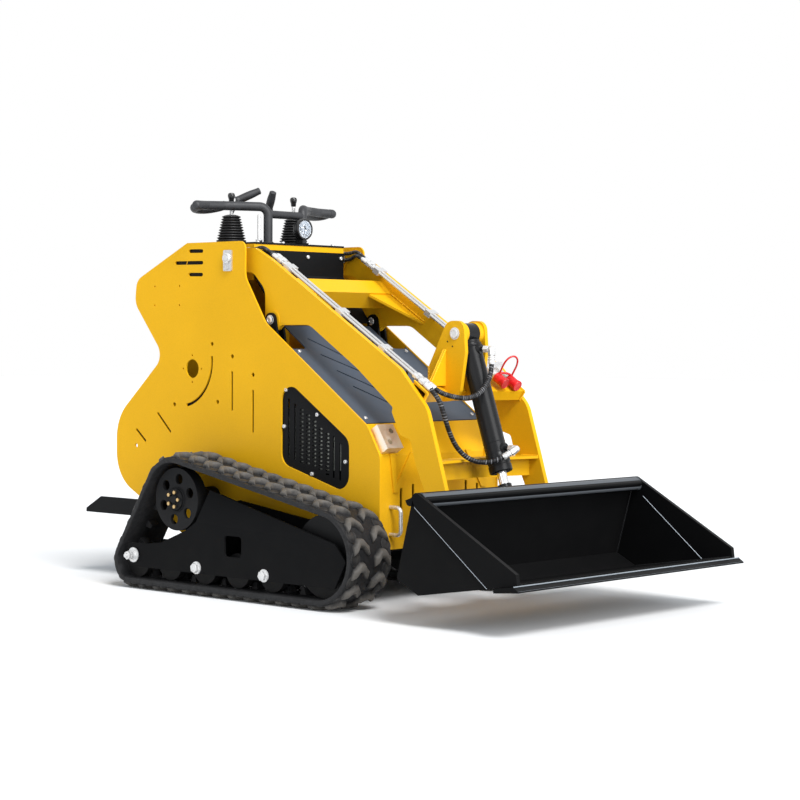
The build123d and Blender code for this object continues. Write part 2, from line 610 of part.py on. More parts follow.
def inset(points, d):
    """Corners of a convex outline moved inward by d."""
    n = len(points)
    out = []
    for i in range(n):
        p0, p1, p2 = (Vector(*points[j % n]) for j in (i - 1, i, i + 1))
        u, v = (p1 - p0).normalized(), (p2 - p1).normalized()
        n1, n2 = Vector(u.Y, -u.X), Vector(v.Y, -v.X)
        m = n1 + n2
        out.append((p1.X + m.X * d * 2 / m.dot(m), p1.Y + m.Y * d * 2 / m.dot(m)))
    return out


low_hole = inset(low_sec, low_wall)
run_in = arm_in - ear_in


def beam(sec_pts):
    f = make_face(Polyline(*[(x, -arm_in, z) for x, z in sec_pts], close=True))
    side = extrude(f, amount=hypot(run_in, run_in * low_back), dir=(-low_back, 1, 0))
    g = make_face(Polyline(*[(x - run_in * low_back, -ear_in, z) for x, z in sec_pts], close=True))
    return side + [mirrored(side), extrude(g, amount=2 * ear_in, dir=(0, 1, 0))]


low = beam(low_sec) - beam(low_hole)
ear_outline = [
    # x, z, corner radius
    (740, 682, 4), (740, 736, 10), (814, 876, 38), (880, 876, 30), (888, 780, 30), (868, 660, 10), (846, 632, 6), (800, 626, 4),
]
rib = [(-56, 790), (-56, 676), (-128, 676)]          # y, z
ears = []
for s in (-1, 1):
    e = slab(ear_outline, s * ear_in, s * (ear_in + ear_t))
    e -= bar_y(eye_x, eye_z, tilt_pin_r + 3, s * (ear_in - 1), s * (ear_in + ear_t + 1))
    r = extrude(make_face(Polyline(*[(800, -s * y, z) for y, z in rib], close=True)), amount=10, dir=(1, 0, 0))
    ears += [e, r]
low = low + ears
keep("lower_crossmember", low)

# brace between the arms' legs, set back in the middle
brace_t = 8.0
brace_top = [(878, -arm_in), (948, -arm_in), (902, 0), (948, arm_in), (878, arm_in), (840, 0)]
brace = Pos(0, 0, 446) * extrude(make_face(Polyline(*[(x, y, 0) for x, y in brace_top], close=True)), amount=brace_t, dir=(0, 0, 1))
apron = [(904, -arm_in), (912, -arm_in), (872, 0), (912, arm_in), (904, arm_in), (864, 0)]
brace = brace + Pos(0, 0, 392) * extrude(make_face(Polyline(*[(x, y, 0) for x, y in apron], close=True)), amount=56, dir=(0, 0, 1))
keep("lower_brace", brace)

# ---------------------------------------------------------------- hard lines, hoses and couplers on the boom
line_r, nut_r, nut_l = 5.0, 8.5, 26.0
line_a, line_b = Vector(232, 0, 1074.9), Vector(868, 0, 683.0)
line_dir = (line_b - line_a).normalized()
line_end = {-1: 868.0, 1: 787.0}     # x of the lines' front ends, by side
line_y = [arm_in - 14.0, arm_in - 32.0]
hose_r = 7.5
hose_gap = 1.0               # a hose's end clears the nut it leaves, because the cylinder swings a little
clamp_at = [60, 330, 545]
lines = {}
for s in (-1, 1):
    group = None
    end = (line_end[s] - line_a.X) / line_dir.X
    for y in line_y:
        p = Plane(origin=line_a + Vector(0, s * y, 0), z_dir=line_dir)
        tube = p * Pos(0, 0, end / 2) * Cylinder(line_r, end)
        for at, r in ((0, nut_r), (30, nut_r - 1.5), (end - nut_l - 30, nut_r - 1.5), (end - nut_l, nut_r)):
            tube = tube + p * Pos(0, 0, at + nut_l / 2) * Cylinder(r, nut_l)
        group = tube if group is None else group + tube
    for at in clamp_at:
        o = line_a + line_dir * at
        y0, y1 = line_y[1] - 9, arm_in
        group = group + Plane(origin=Vector(o.X, s * (y0 + y1) / 2, o.Z), x_dir=tuple(line_dir), z_dir=(0, 1, 0)) * Box(26, 18, y1 - y0)
    lines[s] = group
# clip inside each arm's boss, where the hoses from the console begin
clip = block(94, 104, con_half + 5.5, arm_in - 3, 1076, 1114)
keep("hard_lines", lines[-1], lines[1], clip, mirrored(clip))

# hoses from the console's flanks to the upper ends of the hard lines
arm_hose_r = 6.0
arm_hose_rows = [
    # side distance of the line, then x, y, z of the route from the console's flank
    (line_y[0], [(104, con_half + 12, 1107), (132, con_half + 12, 1107), (167, con_half + 10, 1115)]),
    (line_y[1], [(104, con_half + 12, 1085), (134, con_half + 12, 1085), (169, con_half + 2, 1101)]),
]
tubes = []
for s in (-1, 1):
    for y, row in arm_hose_rows:
        last = [line_a - line_dir * 35, line_a]
        tubes.append(hose([(px, s * py, pz) for px, py, pz in row] + [(v.X, s * y, v.Z) for v in last], arm_hose_r))
keep("arm_hoses", *tubes)

# quick couplers with caps on the left arm
coup_rows = [
    # y, length from the plate to the cap's middle
    (arm_in - 32, 86), (arm_in - 78, 72),
]
coup_x, coup_z = 800.0, 727.0
coup_plate_t = 8.0
cap_r, cap_l = 15.0, 38.0
coup_dir = Vector(0.852, 0, -0.523)
couplers = block(coup_x - coup_plate_t, coup_x, arm_in - 100, arm_in, 700, 748)
caps = []
for y, mid in coup_rows:
    p = Plane(origin=Vector(coup_x - 4, y, coup_z + 2), z_dir=coup_dir)
    bl = mid - cap_l / 2
    couplers = couplers + p * Pos(0, 0, bl / 2) * Cylinder(9, bl) + p * Pos(0, 0, bl - 11) * Cylinder(12, 22)
    caps.append(p * Pos(0, 0, mid) * Cylinder(cap_r, cap_l) + p * Pos(0, 0, mid + cap_l / 2 - 4) * Cylinder(cap_r + 1.5, 8))
keep("couplers", couplers)
keep("coupler_caps", *caps)

# ---------------------------------------------------------------- pins in the body
lock_t = 6.0
bp = bar_y(*O, boom_pin_r, -body_half - 8, -con_half + sheet_t)
lockp = slab([(50, 1104, 5), (88, 1104, 5), (88, 1036, 5), (50, 1036, 5)], -body_half - lock_t, -body_half)
lockb = [bar_y(69, 1046, 6, -body_half - 12, -body_half - 1)]
bp = bp + [lockp] + lockb
keep("boom_pins", bp, mirrored(bp))

lift_eye_w = 30.0
lift_stand_y = arm_mid - lift_bore_r - 6
stand = slab([(base_x - 34, body_low + plate_t, 0), (base_x + 34, body_low + plate_t, 0), (base_x + 22, base_z + 22, 20), (base_x - 22, base_z + 22, 20)], -lift_stand_y, -lift_stand_y + 10)
lp = bar_y(base_x, base_z, lift_pin_r, -inner, -lift_stand_y + 6)
keep("lift_bases", stand + lp, mirrored(stand + lp))


# ---------------------------------------------------------------- cylinders
def cylinder_barrel(a, b, r, length, eye_r, eye_w, y):
    """Barrel from eye a towards b."""
    l = hypot(b[0] - a[0], b[1] - a[1])
    d = Vector((b[0] - a[0]) / l, 0, (b[1] - a[1]) / l)
    p = Plane(origin=Vector(a[0], y, a[1]), z_dir=d)
    neck = eye_r - 4
    body = p * Pos(0, 0, (neck + length) / 2) * Cylinder(r, length - neck)
    body -= p * Pos(0, 0, length) * (Cylinder(r + 1, 8) - Cylinder(r - 5, 8))
    return body + bar_y(a[0], a[1], eye_r, y - eye_w / 2, y + eye_w / 2), p


B = (base_x, base_z)
ll = hypot(P[0] - B[0], P[1] - B[1])
lb, lplane = cylinder_barrel(B, P, lift_bore_r, lift_barrel_l, 25, lift_eye_w, -arm_mid)
lb -= lplane * Pos(0, 0, lift_barrel_l - 130) * Cylinder(lift_rod_r + run_fit, 312)
lb -= bar_y(*B, lift_pin_r + run_fit, -arm_mid - 50, -arm_mid + 50)
rod_a, rod_b = lift_barrel_l - 280, ll - fork_deep
in_w = arm_t / 2 + lug_boss + fork_gap
lr = lplane * Pos(0, 0, (rod_a + rod_b) / 2) * Cylinder(lift_rod_r, rod_b - rod_a) + lplane * Pos(0, 0, rod_b + 6) * Box(fork_w, 2 * (in_w + fork_t), 14)
for s in (-1, 1):
    y0, y1 = -arm_mid + s * in_w, -arm_mid + s * (in_w + fork_t)
    ear = lplane * Pos(0, s * (in_w + fork_t / 2), rod_b + fork_deep / 2) * Box(fork_w, fork_t, fork_deep)
    lr = lr + [ear, bar_y(*P, fork_w / 2, y0, y1), bar_y(*P, lift_pin_r, y0, y1 + s * pin_head)]
keep("lift_barrel_right", lb)
keep("lift_barrel_left", mirrored(lb))
keep("lift_rod_right", lr)
keep("lift_rod_left", mirrored(lr))

E = (eye_x, eye_z)
Q = (tilt_x, tilt_z)
tl = hypot(Q[0] - E[0], Q[1] - E[1])
tb, tp = cylinder_barrel(E, Q, tilt_bore_r, tilt_barrel_l, 32, 2 * ear_in - 8, 0.0)
tb -= tp * Pos(0, 0, tilt_barrel_l - 90) * Cylinder(tilt_rod_r + run_fit, 400)
tb -= bar_y(*E, tilt_pin_r + 3 + run_fit, -80, 80)
# ports: a stub forward from the barrel and a nut that faces its hose
hose_at = Vector(line_end[-1], 0, line_a.Z + (line_end[-1] - line_a.X) / line_dir.X * line_dir.Z) + line_dir * hose_gap
hose_on = hose_at + line_dir * 32
hose_a = [(hose_at.X, -line_y[1], hose_at.Z), (hose_on.X, -line_y[1], hose_on.Z), (918, 18 - line_y[1], 652), (933, 53 - line_y[1], 643), (943, -102, 640), (949, -58, 654), (952, -22, 688), (948, 0, 728), (940, 8, 768)]
hose_b = [(hose_at.X, -line_y[0], hose_at.Z), (hose_on.X, -line_y[0], hose_on.Z), (920, 9 - line_y[0], 631), (925, 26 - line_y[0], 580), (922, -165, 535), (925, -138, 492), (942, -106, 458), (975, -74, 444), (1014, -46, 453), (1034, -14, 476)]
ports = []
for route in (hose_a, hose_b):
    e = Vector(*route[-1])
    d = (e - Vector(*route[-2])).normalized()
    c = e + d * 22
    root = Vector(eye_x + (tilt_x - eye_x) / (tilt_z - eye_z) * (c.Z - eye_z) + 22, 0, c.Z)
    stub = Plane(origin=root, z_dir=c - root) * Pos(0, 0, (c - root).length / 2) * Cylinder(7, (c - root).length)
    nut = Plane(origin=e, z_dir=d) * Pos(0, 0, 11) * Cylinder(9.5, 22)
    ports += [stub, nut, Pos(*c) * Sphere(9)]
tb = tb + ports
tb -= tp * Pos(0, 0, tilt_barrel_l - 90) * Cylinder(tilt_rod_r + run_fit, 400)
keep("tilt_barrel", tb)
keep("tilt_pin", bar_y(*E, tilt_pin_r + 3, -ear_in - ear_t - 5, ear_in + ear_t + 5))
rod_a = tilt_barrel_l - 262
tr = tp * Pos(0, 0, (rod_a + tl) / 2) * Cylinder(tilt_rod_r, tl - rod_a) + [tp * Pos(0, 0, tl - 38) * Cylinder(21, 48), bar_y(*Q, tilt_eye_r, -22, 22)]
keep("tilt_rod", tr)


keep("tilt_hose_upper", hose(hose_a, hose_r))
keep("tilt_hose_lower", hose(hose_b, hose_r))


# ---------------------------------------------------------------- bucket
bucket_side = [
    # x, z, corner radius
    (lip_x, lip_z, 3), (1480, 181, 3), (blade_x0, blade_z0, 3), (heel_x, heel_z, 8), (back_x, back_z, 12), (1097, 372, 3),
]
by = bucket_half
cutter = [(lip_x - 7, 343, 2), (lip_x, lip_z, 3), (1480, 181, 3), (blade_x0, blade_z0, 3), (1377, 134, 2)]
sides = []
for s in (-1, 1):
    sides.append(slab(bucket_side, s * (by - cutter_t), s * (by - cutter_t - bucket_side_t)))
    sides.append(slab(cutter, s * by, s * (by - cutter_t)))
back = bent([(1099, 378), (back_x + 4, back_z + 2), (heel_x, heel_z), (blade_x0 - 4, blade_z0 - 1)], bucket_sheet, -by + cutter_t, by - cutter_t)
lipbar = slab([(1097, 372, 4), (1112, 386, 6), (1146, 366, 6), (1134, 346, 4), (1105, 352, 2)], -by, by)
hook = slab([(1102, 372, 0), (1073, 361, 0), (1080.6, 347.8, 0), (1090.4, 345.3, 0), (1096, 346, 0)], -by, by)
bucket = sides[0] + sides[1:] + [back, lipbar, hook]
keep("bucket_shell", bucket)

floor_k = (blade_z0 - 1 - heel_z) / (blade_x0 - 4 - heel_x)      # slope of the bucket's floor
blade_x = blade_front - blade_deep
blade = slab([(blade_x, heel_z + (blade_x - heel_x) * floor_k - 0.2 - blade_t, 0), (blade_front, blade_low, 0), (blade_front, blade_low + 4, 0), (blade_x0 + 2, blade_z0 - 0.6, 0), (blade_x, heel_z + (blade_x - heel_x) * floor_k - 0.2, 0)], -blade_half, blade_half)
keep("cutting_edge", blade)

# carrier plate behind the bucket with its hinge and cylinder lugs
qa_x0, qa_z0, qa_x1, qa_z1 = 1042.5, 150.0, 1090.4, 345.0
qa_half = arm_out - 1.0
qa = bent([(qa_x0, qa_z0), (qa_x1, qa_z1)], 10, -qa_half, qa_half)
qa -= block(1040, 1100, -25, 25, 246, 400)          # notch for the rod's eye
lug = []
lug_out = arm_in - 3.0
for s in (-1, 1):
    g = slab([(hinge_x - 34, hinge_z - 34, 32), (hinge_x - 34, hinge_z + 34, 32), (1071, 300, 4), (1036, 158, 4), (hinge_x + 20, hinge_z - 34, 10)], s * lug_out, s * (lug_out - 14))
    pin = bar_y(*H, hinge_pin_r, s * (lug_out - 14), s * (arm_out + 16))
    lug += [g, pin]
    g2 = slab([(tilt_x - 30, tilt_z - 30, 28), (tilt_x - 30, tilt_z + 30, 28), (tilt_x + 50, tilt_z + 34, 4), (1060, 232, 4)], s * 26, s * 38)
    lug.append(g2)
qa = qa + lug
keep("bucket_carrier", qa)

# ---------------------------------------------------------------- write
def check_drift():
    for name, c, p0, hub, travel in (("lift", (base_x, base_z), P, O, lift_travel), ("tilt", E, Q, H, -dump_travel)):
        l0, a0 = hypot(p0[0] - c[0], p0[1] - c[1]), degrees(atan2(p0[1] - c[1], p0[0] - c[0]))
        p1 = turned(*p0, *hub, travel)
        l1, a1 = hypot(p1[0] - c[0], p1[1] - c[1]), degrees(atan2(p1[1] - c[1], p1[0] - c[0]))
        print(name, "length", round(l0, 2), "to", round(l1, 2), "angle", round(a0, 3), "to", round(a1, 3), "ratios mm/deg", round((l1 - l0) / abs(travel), 5), "deg/deg", round((a1 - a0) / abs(travel), 5))
        worst = 0
        for i in range(0, 41):
            q = travel * i / 40
            pt = turned(*p0, *hub, q)
            l, a = l0 + (l1 - l0) * i / 40, radians(a0 + (a1 - a0) * i / 40)
            dx, dz = c[0] + l * cos(a) - pt[0], c[1] + l * sin(a) - pt[1]
            worst = max(worst, hypot(dx, dz))
        print("   drift", round(worst, 1))


check_drift()
for name, solids in nodes.items():
    flat = []
    for s in solids:
        flat += s.solids()
    shape = Compound(children=[Pos(axle_x, 0, 0) * s for s in flat]) if len(flat) > 1 else Pos(axle_x, 0, 0) * flat[0]
    export_step(shape, f"parts/{name}.step")
    b = shape.bounding_box()
    print(f"{name:22s} n={len(flat)} x {b.min.X:8.1f} {b.max.X:8.1f}  y {b.min.Y:8.1f} {b.max.Y:8.1f}  z {b.min.Z:8.1f} {b.max.Z:8.1f}")
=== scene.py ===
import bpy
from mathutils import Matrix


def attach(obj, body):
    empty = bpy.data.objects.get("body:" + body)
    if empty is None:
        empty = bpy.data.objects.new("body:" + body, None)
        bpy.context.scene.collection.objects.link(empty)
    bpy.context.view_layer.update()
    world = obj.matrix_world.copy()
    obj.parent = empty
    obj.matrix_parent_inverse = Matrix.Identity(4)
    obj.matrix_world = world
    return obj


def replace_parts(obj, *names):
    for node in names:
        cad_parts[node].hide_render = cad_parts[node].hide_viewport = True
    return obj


bl_info = {
    "name": "Stand-on mini track loader",
    "version": (1, 0, 0),
    "blender": (4, 5, 0),
    "location": "View3D > Sidebar > Loader",
    "description": "Dresses the packed loader with paint, rubber, hoses and fittings, and builds its studio",
    "category": "Object",
}

from math import asin, atan2, cos, dist, hypot, pi, radians, sin

import bmesh
import bpy
from mathutils import Matrix, Vector

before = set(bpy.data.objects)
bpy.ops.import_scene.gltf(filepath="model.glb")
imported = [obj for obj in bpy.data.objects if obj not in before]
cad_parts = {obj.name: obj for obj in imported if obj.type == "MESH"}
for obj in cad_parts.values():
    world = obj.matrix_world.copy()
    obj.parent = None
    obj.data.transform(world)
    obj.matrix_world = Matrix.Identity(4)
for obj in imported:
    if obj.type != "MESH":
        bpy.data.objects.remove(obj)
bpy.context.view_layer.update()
MM = 0.001
SIDES = (-1, 1)         # right, left
WORDS = ((-1, "right"), (1, "left"))
UP = (0, 0, 1)
AHEAD = (1, 0, 0)

# places on the machine, in millimetres from the drive axle and the floor
AXLE_X = -0.4235        # the drive axle along the row's X, in metres
AXLE_Z = 301
CONSOLE_Z = 1132        # top of the console
PLATE_Y = 272.8         # middle of the black sheets close behind the side plates, which paint shade into their slots
TILT_EYE = (846, 0, 837)
TILT_ROD_EYE = (1029, 0, 293)
LIFT_EYE = (240, 878)   # x, z
LIP = (1124, 363)       # x, z of the bar along the bucket's upper edge
LIP_TURN = radians(-24)


def at(x, y, z):
    """Point given from the drive axle, in millimetres."""
    return AXLE_X + x * MM, y * MM, z * MM


# the hydraulic lines along the arms: their start and way, their lengths by side, and y of both, in metres
LINE_FROM = Vector((AXLE_X + 0.232, 0.0, 1.0749))
LINE_DIR = Vector((636.0, 0.0, -391.9)).normalized()
LINE_END = {-1: 0.7470, 1: 0.6519}
LINE_Y = (0.216, 0.198)
HOOD_OUT = Vector((315.0, 0.0, 448.0)).normalized()        # square to the hood's slope


# ---------------- sizes and colours a user would change
def colour(label, value, note):
    return bpy.props.FloatVectorProperty(
        name=label, subtype="COLOR", size=4, min=0, max=1, default=(*value, 1.0), description=note)


def number(label, value, low, high, note, unit="LENGTH"):
    return bpy.props.FloatProperty(name=label, default=value, min=low, max=high, unit=unit, description=note)


class LoaderPaint(bpy.types.PropertyGroup):
    enamel: colour("Enamel", (0.745, 0.400, 0.008), "Yellow enamel of body, arms and lift cylinders")
    black: colour("Black enamel", (0.0075, 0.0078, 0.0085), "Satin black of bucket, track frames and console")
    slate: colour("Hood paint", (0.052, 0.068, 0.094), "Slate grey paint of the hood")
    zinc: colour("Zinc plate", (0.58, 0.58, 0.58), "Zinc plated lines, nuts and pins")
    rubber: colour("Track rubber", (0.015, 0.015, 0.016), "Black rubber of the tracks")
    hose: colour("Hose cover", (0.007, 0.007, 0.008), "Black cover of the hydraulic hoses")
    grip: colour("Grip", (0.018, 0.019, 0.022), "Dark grey dipped tube of the handlebar")
    cap: colour("Dust cap", (0.62, 0.012, 0.014), "Red vinyl of the couplers' dust caps")
    dust: colour("Dust", (0.150, 0.138, 0.124), "Dry dust on rubber and undercarriage")


class LoaderHoses(bpy.types.PropertyGroup):
    tilt_diameter: number("Tilt hose diameter", 0.015, 0.008, 0.03, "Outside diameter of the tilt hoses")
    arm_diameter: number("Arm hose diameter", 0.012, 0.006, 0.02, "Outside diameter of the console hoses")


class LoaderFasteners(bpy.types.PropertyGroup):
    button_radius: number("Button head radius", 0.0062, 0.003, 0.015, "Radius of the cover screws' heads")
    nut_radius: number("Roller nut radius", 0.0135, 0.006, 0.03, "Radius over the corners of the nuts")


class LoaderStage(bpy.types.PropertyGroup):
    floor_size: number("Floor size", 60.0, 10.0, 200.0, "Side of the pale studio floor")
    key_power: number("Key light", 2.7, 0.1, 10.0, "Strength of the soft key sun", "NONE")
    front_power: number("Front light", 2.0, 0.0, 10.0, "Strength of the sun from the bucket's side", "NONE")
    focal: number("Focal length", 95.2, 20, 200, "Camera lens in millimetres on a 36 mm sensor", "NONE")


GROUPS = {
    "loader_paint": LoaderPaint,
    "loader_hoses": LoaderHoses,
    "loader_fasteners": LoaderFasteners,
    "loader_stage": LoaderStage,
}


# ---------------- materials
def feed(tree, socket, value):
    """Link a socket to another one, or give it a number, vector or colour."""
    if isinstance(value, bpy.types.NodeSocket):
        tree.links.new(value, socket)
    elif socket.type == "RGBA":
        socket.default_value = (*value, 1.0)
    else:
        socket.default_value = value


def node(tree, kind, *inputs, **values):
    """New node: its inputs in order, and what else is named after a property or an input."""
    made = tree.nodes.new(kind)
    for key, value in values.items():
        if hasattr(made, key):
            setattr(made, key, value)
        else:
            feed(tree, made.inputs[key.replace("_", " ")], value)
    for socket, value in zip(made.inputs, inputs):
        feed(tree, socket, value)
    return made


def combine(tree, kind, a, b):
    return node(tree, "ShaderNodeMath", a, b, operation=kind).outputs[0]


def shade(base, k=1.0):
    return tuple(min(1.0, c * k) for c in base[:3])


class Look:
    """Material being built, with its shader and the coordinates that its patterns follow."""

    def __init__(self, name):
        self.mat = bpy.data.materials.new(name)
        self.mat.use_nodes = True
        self.tree = self.mat.node_tree
        self.shader = self.tree.nodes["Principled BSDF"]

    def set(self, **values):
        for key, value in values.items():
            feed(self.tree, self.shader.inputs[key.replace("_", " ")], value)

    def noise(self, scale, detail=3.0, rough=0.5, place=None):
        values = {"Vector": place or self.place, "Scale": scale, "Detail": detail, "Roughness": rough}
        return node(self.tree, "ShaderNodeTexNoise", **values).outputs["Fac"]

    def wave(self, place, kind, direction, **values):
        values[f"{kind.lower()}_direction"] = direction
        return node(self.tree, "ShaderNodeTexWave", Vector=place, wave_type=kind, **values).outputs["Fac"]

    def ramp(self, fac, *stops):
        """Colour ramp over rows (position, colour or grey)."""
        made = node(self.tree, "ShaderNodeValToRGB", Fac=fac)
        table = made.color_ramp
        while len(table.elements) < len(stops):
            table.elements.new(0.5)
        for element, (position, value) in zip(table.elements, stops):
            element.position = position
            element.color = (*value, 1.0) if isinstance(value, tuple) else (value, value, value, 1.0)
        return made.outputs["Color"]

    def patches(self, scale, detail, rough, *stops):
        return self.ramp(self.noise(scale, detail, rough), *stops)

    def clouds(self, scale, detail, rough, low, high):
        return self.patches(scale, detail, rough, (0.3, low), (0.7, high))

    def math(self, kind, a, b):
        return combine(self.tree, kind, a, b)

    def mix(self, fac, a, b, blend="MIX"):
        made = node(self.tree, "ShaderNodeMix", data_type="RGBA", blend_type=blend)
        for socket, value in ((0, fac), (6, a), (7, b)):
            feed(self.tree, made.inputs[socket], value)
        return made.outputs[2]

    def height(self):
        return node(self.tree, "ShaderNodeSeparateXYZ", self.place).outputs["Z"]

    def bump(self, *layers):
        """Chain of bumps from rows (height, strength, distance in metres)."""
        last = None
        for height, strength, distance in layers:
            made = node(self.tree, "ShaderNodeBump", Height=height, Strength=strength, Distance=distance)
            if last:
                feed(self.tree, made.inputs["Normal"], last)
            last = made.outputs["Normal"]
        self.set(Normal=last)


def material(build):
    """Turns a function that dresses a Look into one that makes the material of a name once."""
    def make(name, *args, **values):
        old = bpy.data.materials.get(name)
        if old:
            return old
        look = Look(name)
        look.coords = node(look.tree, "ShaderNodeTexCoord")
        look.place = look.coords.outputs["Object"]
        build(look, *args, **values)
        return look.mat
    make.__doc__ = build.__doc__
    return make


@material
def painted(look, base, rough, gloss, peel=0.35, dust=None):
    """Sprayed enamel: faint tone changes, orange peel, and dust (colour, top height, amount) below."""
    tones = (0.30, shade(base, 0.94)), (0.55, shade(base)), (0.75, shade(base, 1.05))
    tone = look.patches(2.6, 4.0, 0.55, *tones)
    fleck = look.patches(240.0, 2.0, 0.5, (0.0, 0.90), (0.5, 1.0), (1.0, 1.06))
    out = look.mix(1.0, tone, fleck, "MULTIPLY")
    if dust:
        tint, top, amount = dust
        depth = look.math("DIVIDE", look.math("SUBTRACT", top, look.height()), top)
        cloud = look.math("MULTIPLY", depth, look.noise(14.0, 5.0, 0.6))
        out = look.mix(look.math("MULTIPLY", cloud, amount), out, shade(tint))
    wear = look.clouds(9.0, 5.0, 0.6, rough * 0.88, min(1.0, rough * 1.15))
    look.set(Base_Color=out, Roughness=wear, Specular_IOR_Level=gloss)
    look.bump((look.noise(420.0, 2.0, 0.5), peel, 0.00025), (look.noise(5.0, 2.0, 0.4), 0.12, 0.002))


@material
def plated(look, base, rough, tint=(0.72, 0.62, 0.36), metal=1.0):
    """Zinc plate with a trace of yellow passivate and fine drawing marks."""
    stain = look.patches(24.0, 3.0, 0.5, (0.55, 0.0), (0.85, 0.12))
    wear = look.clouds(90.0, 3.0, 0.5, rough * 0.85, rough * 1.2)
    look.set(Base_Color=look.mix(stain, shade(base), shade(tint, 0.8)), Metallic=metal, Roughness=wear)
    look.bump((look.noise(60.0, 2.0, 0.5), 0.04, 0.0002))


@material
def moulded(look, base, rough, grain=320.0, relief=0.25, dust=None):
    """Rubber or plastic with a fine moulded grain, and dust (colour, top height, amount) in its hollows."""
    out = look.clouds(30.0, 4.0, 0.6, shade(base, 0.75), shade(base, 1.3))
    if dust:
        tint, top, amount = dust
        band = look.ramp(look.math("DIVIDE", look.height(), top), (0.0, 1.0), (1.0, 0.45))
        cloud = look.math("MULTIPLY", look.patches(22.0, 6.0, 0.65, (0.40, 0.0), (0.72, amount)), band)
        out = look.mix(cloud, out, shade(tint))
    wear = look.clouds(60.0, 4.0, 0.6, rough * 0.85, min(1.0, rough * 1.12))
    look.set(Base_Color=out, Roughness=wear)
    look.bump((look.noise(grain, 3.0, 0.6), relief, 0.0006), (look.noise(45.0, 4.0, 0.6), 0.2, 0.0015))


@material
def braided(look, base):
    """Hose cover with a woven spiral along the hose, on the hose's own UV map."""
    along = look.coords.outputs["UV"]
    turn = node(look.tree, "ShaderNodeMapping", Vector=along, Scale=(30.0, 0.63, 1.0)).outputs[0]
    weave = look.wave(turn, "BANDS", "DIAGONAL", Scale=1.0, Distortion=0.6, Detail=1.0)
    fade = look.ramp(look.noise(0.9, 2.0, 0.5, turn), (0.40, 0.70), (0.62, 1.0))
    # the light grey top of the ramp paints glints on the weave
    tones = (0.45, shade(base, 0.9)), (0.72, shade(base, 3.0)), (0.92, (0.21, 0.21, 0.22))
    threads_and_glints = look.ramp(look.math("MULTIPLY", weave, fade), *tones)
    wear = look.ramp(weave, (0.3, 0.50), (0.8, 0.34))
    look.set(Base_Color=threads_and_glints, Roughness=wear, Specular_IOR_Level=0.25)
    look.bump((weave, 0.6, 0.0009))


@material
def chrome(look):
    """Polished rod with faint rubbing marks."""
    tone = look.clouds(60.0, 3.0, 0.6, (0.27, 0.28, 0.30), (0.34, 0.35, 0.37))
    wear = look.clouds(300.0, 3.0, 0.6, 0.06, 0.14)
    look.set(Metallic=1.0, Base_Color=tone, Roughness=wear)


@material
def beaded(look, base):
    """Painted weld bead with the ripples of its passes."""
    tone = look.clouds(60.0, 3.0, 0.5, shade(base, 0.85), shade(base, 1.05))
    wear = look.clouds(90.0, 3.0, 0.5, 0.32, 0.5)
    look.set(Base_Color=tone, Roughness=wear, Specular_IOR_Level=0.25)
    ripple = look.wave(look.place, "RINGS", "SPHERICAL", Scale=70.0, Distortion=1.5, Detail=1.0)
    look.bump((ripple, 0.8, 0.0012), (look.noise(300.0), 0.3, 0.0004))


@material
def tread_rubber(look, base, dust):
    """Track rubber: dusty brown on what stands proud, near black in the hollows, with mould marks."""
    relief = node(look.tree, "ShaderNodeAttribute", attribute_name="relief").outputs["Fac"]
    cloud = look.noise(34.0, 6.0, 0.62)
    raised = look.math("MULTIPLY", look.math("ADD", relief, 0.22), cloud)
    raised = look.ramp(raised, (0.16, 0.0), (0.42, 0.55), (0.85, 0.9))
    plain = look.clouds(70.0, 4.0, 0.6, shade(base, 0.7), shade(base, 1.4))
    wear = look.clouds(120.0, 4.0, 0.6, 0.42, 0.68)
    look.set(Base_Color=look.mix(raised, plain, shade(dust)), Roughness=wear, Specular_IOR_Level=0.2)
    lines = look.wave(look.place, "BANDS", "Y", Scale=95.0, Distortion=0.3)
    grain, swell = look.noise(240.0, 3.0, 0.6), look.noise(40.0, 4.0, 0.6)
    look.bump((lines, 0.12, 0.0008), (grain, 0.35, 0.0008), (swell, 0.3, 0.002))


@material
def lens(look):
    """Clear front of the lamp."""
    tone = look.clouds(50.0, 2.0, 0.5, (0.80, 0.84, 0.88), (0.93, 0.95, 0.97))
    look.set(Base_Color=tone, Roughness=0.05, Transmission_Weight=1.0, IOR=1.06)


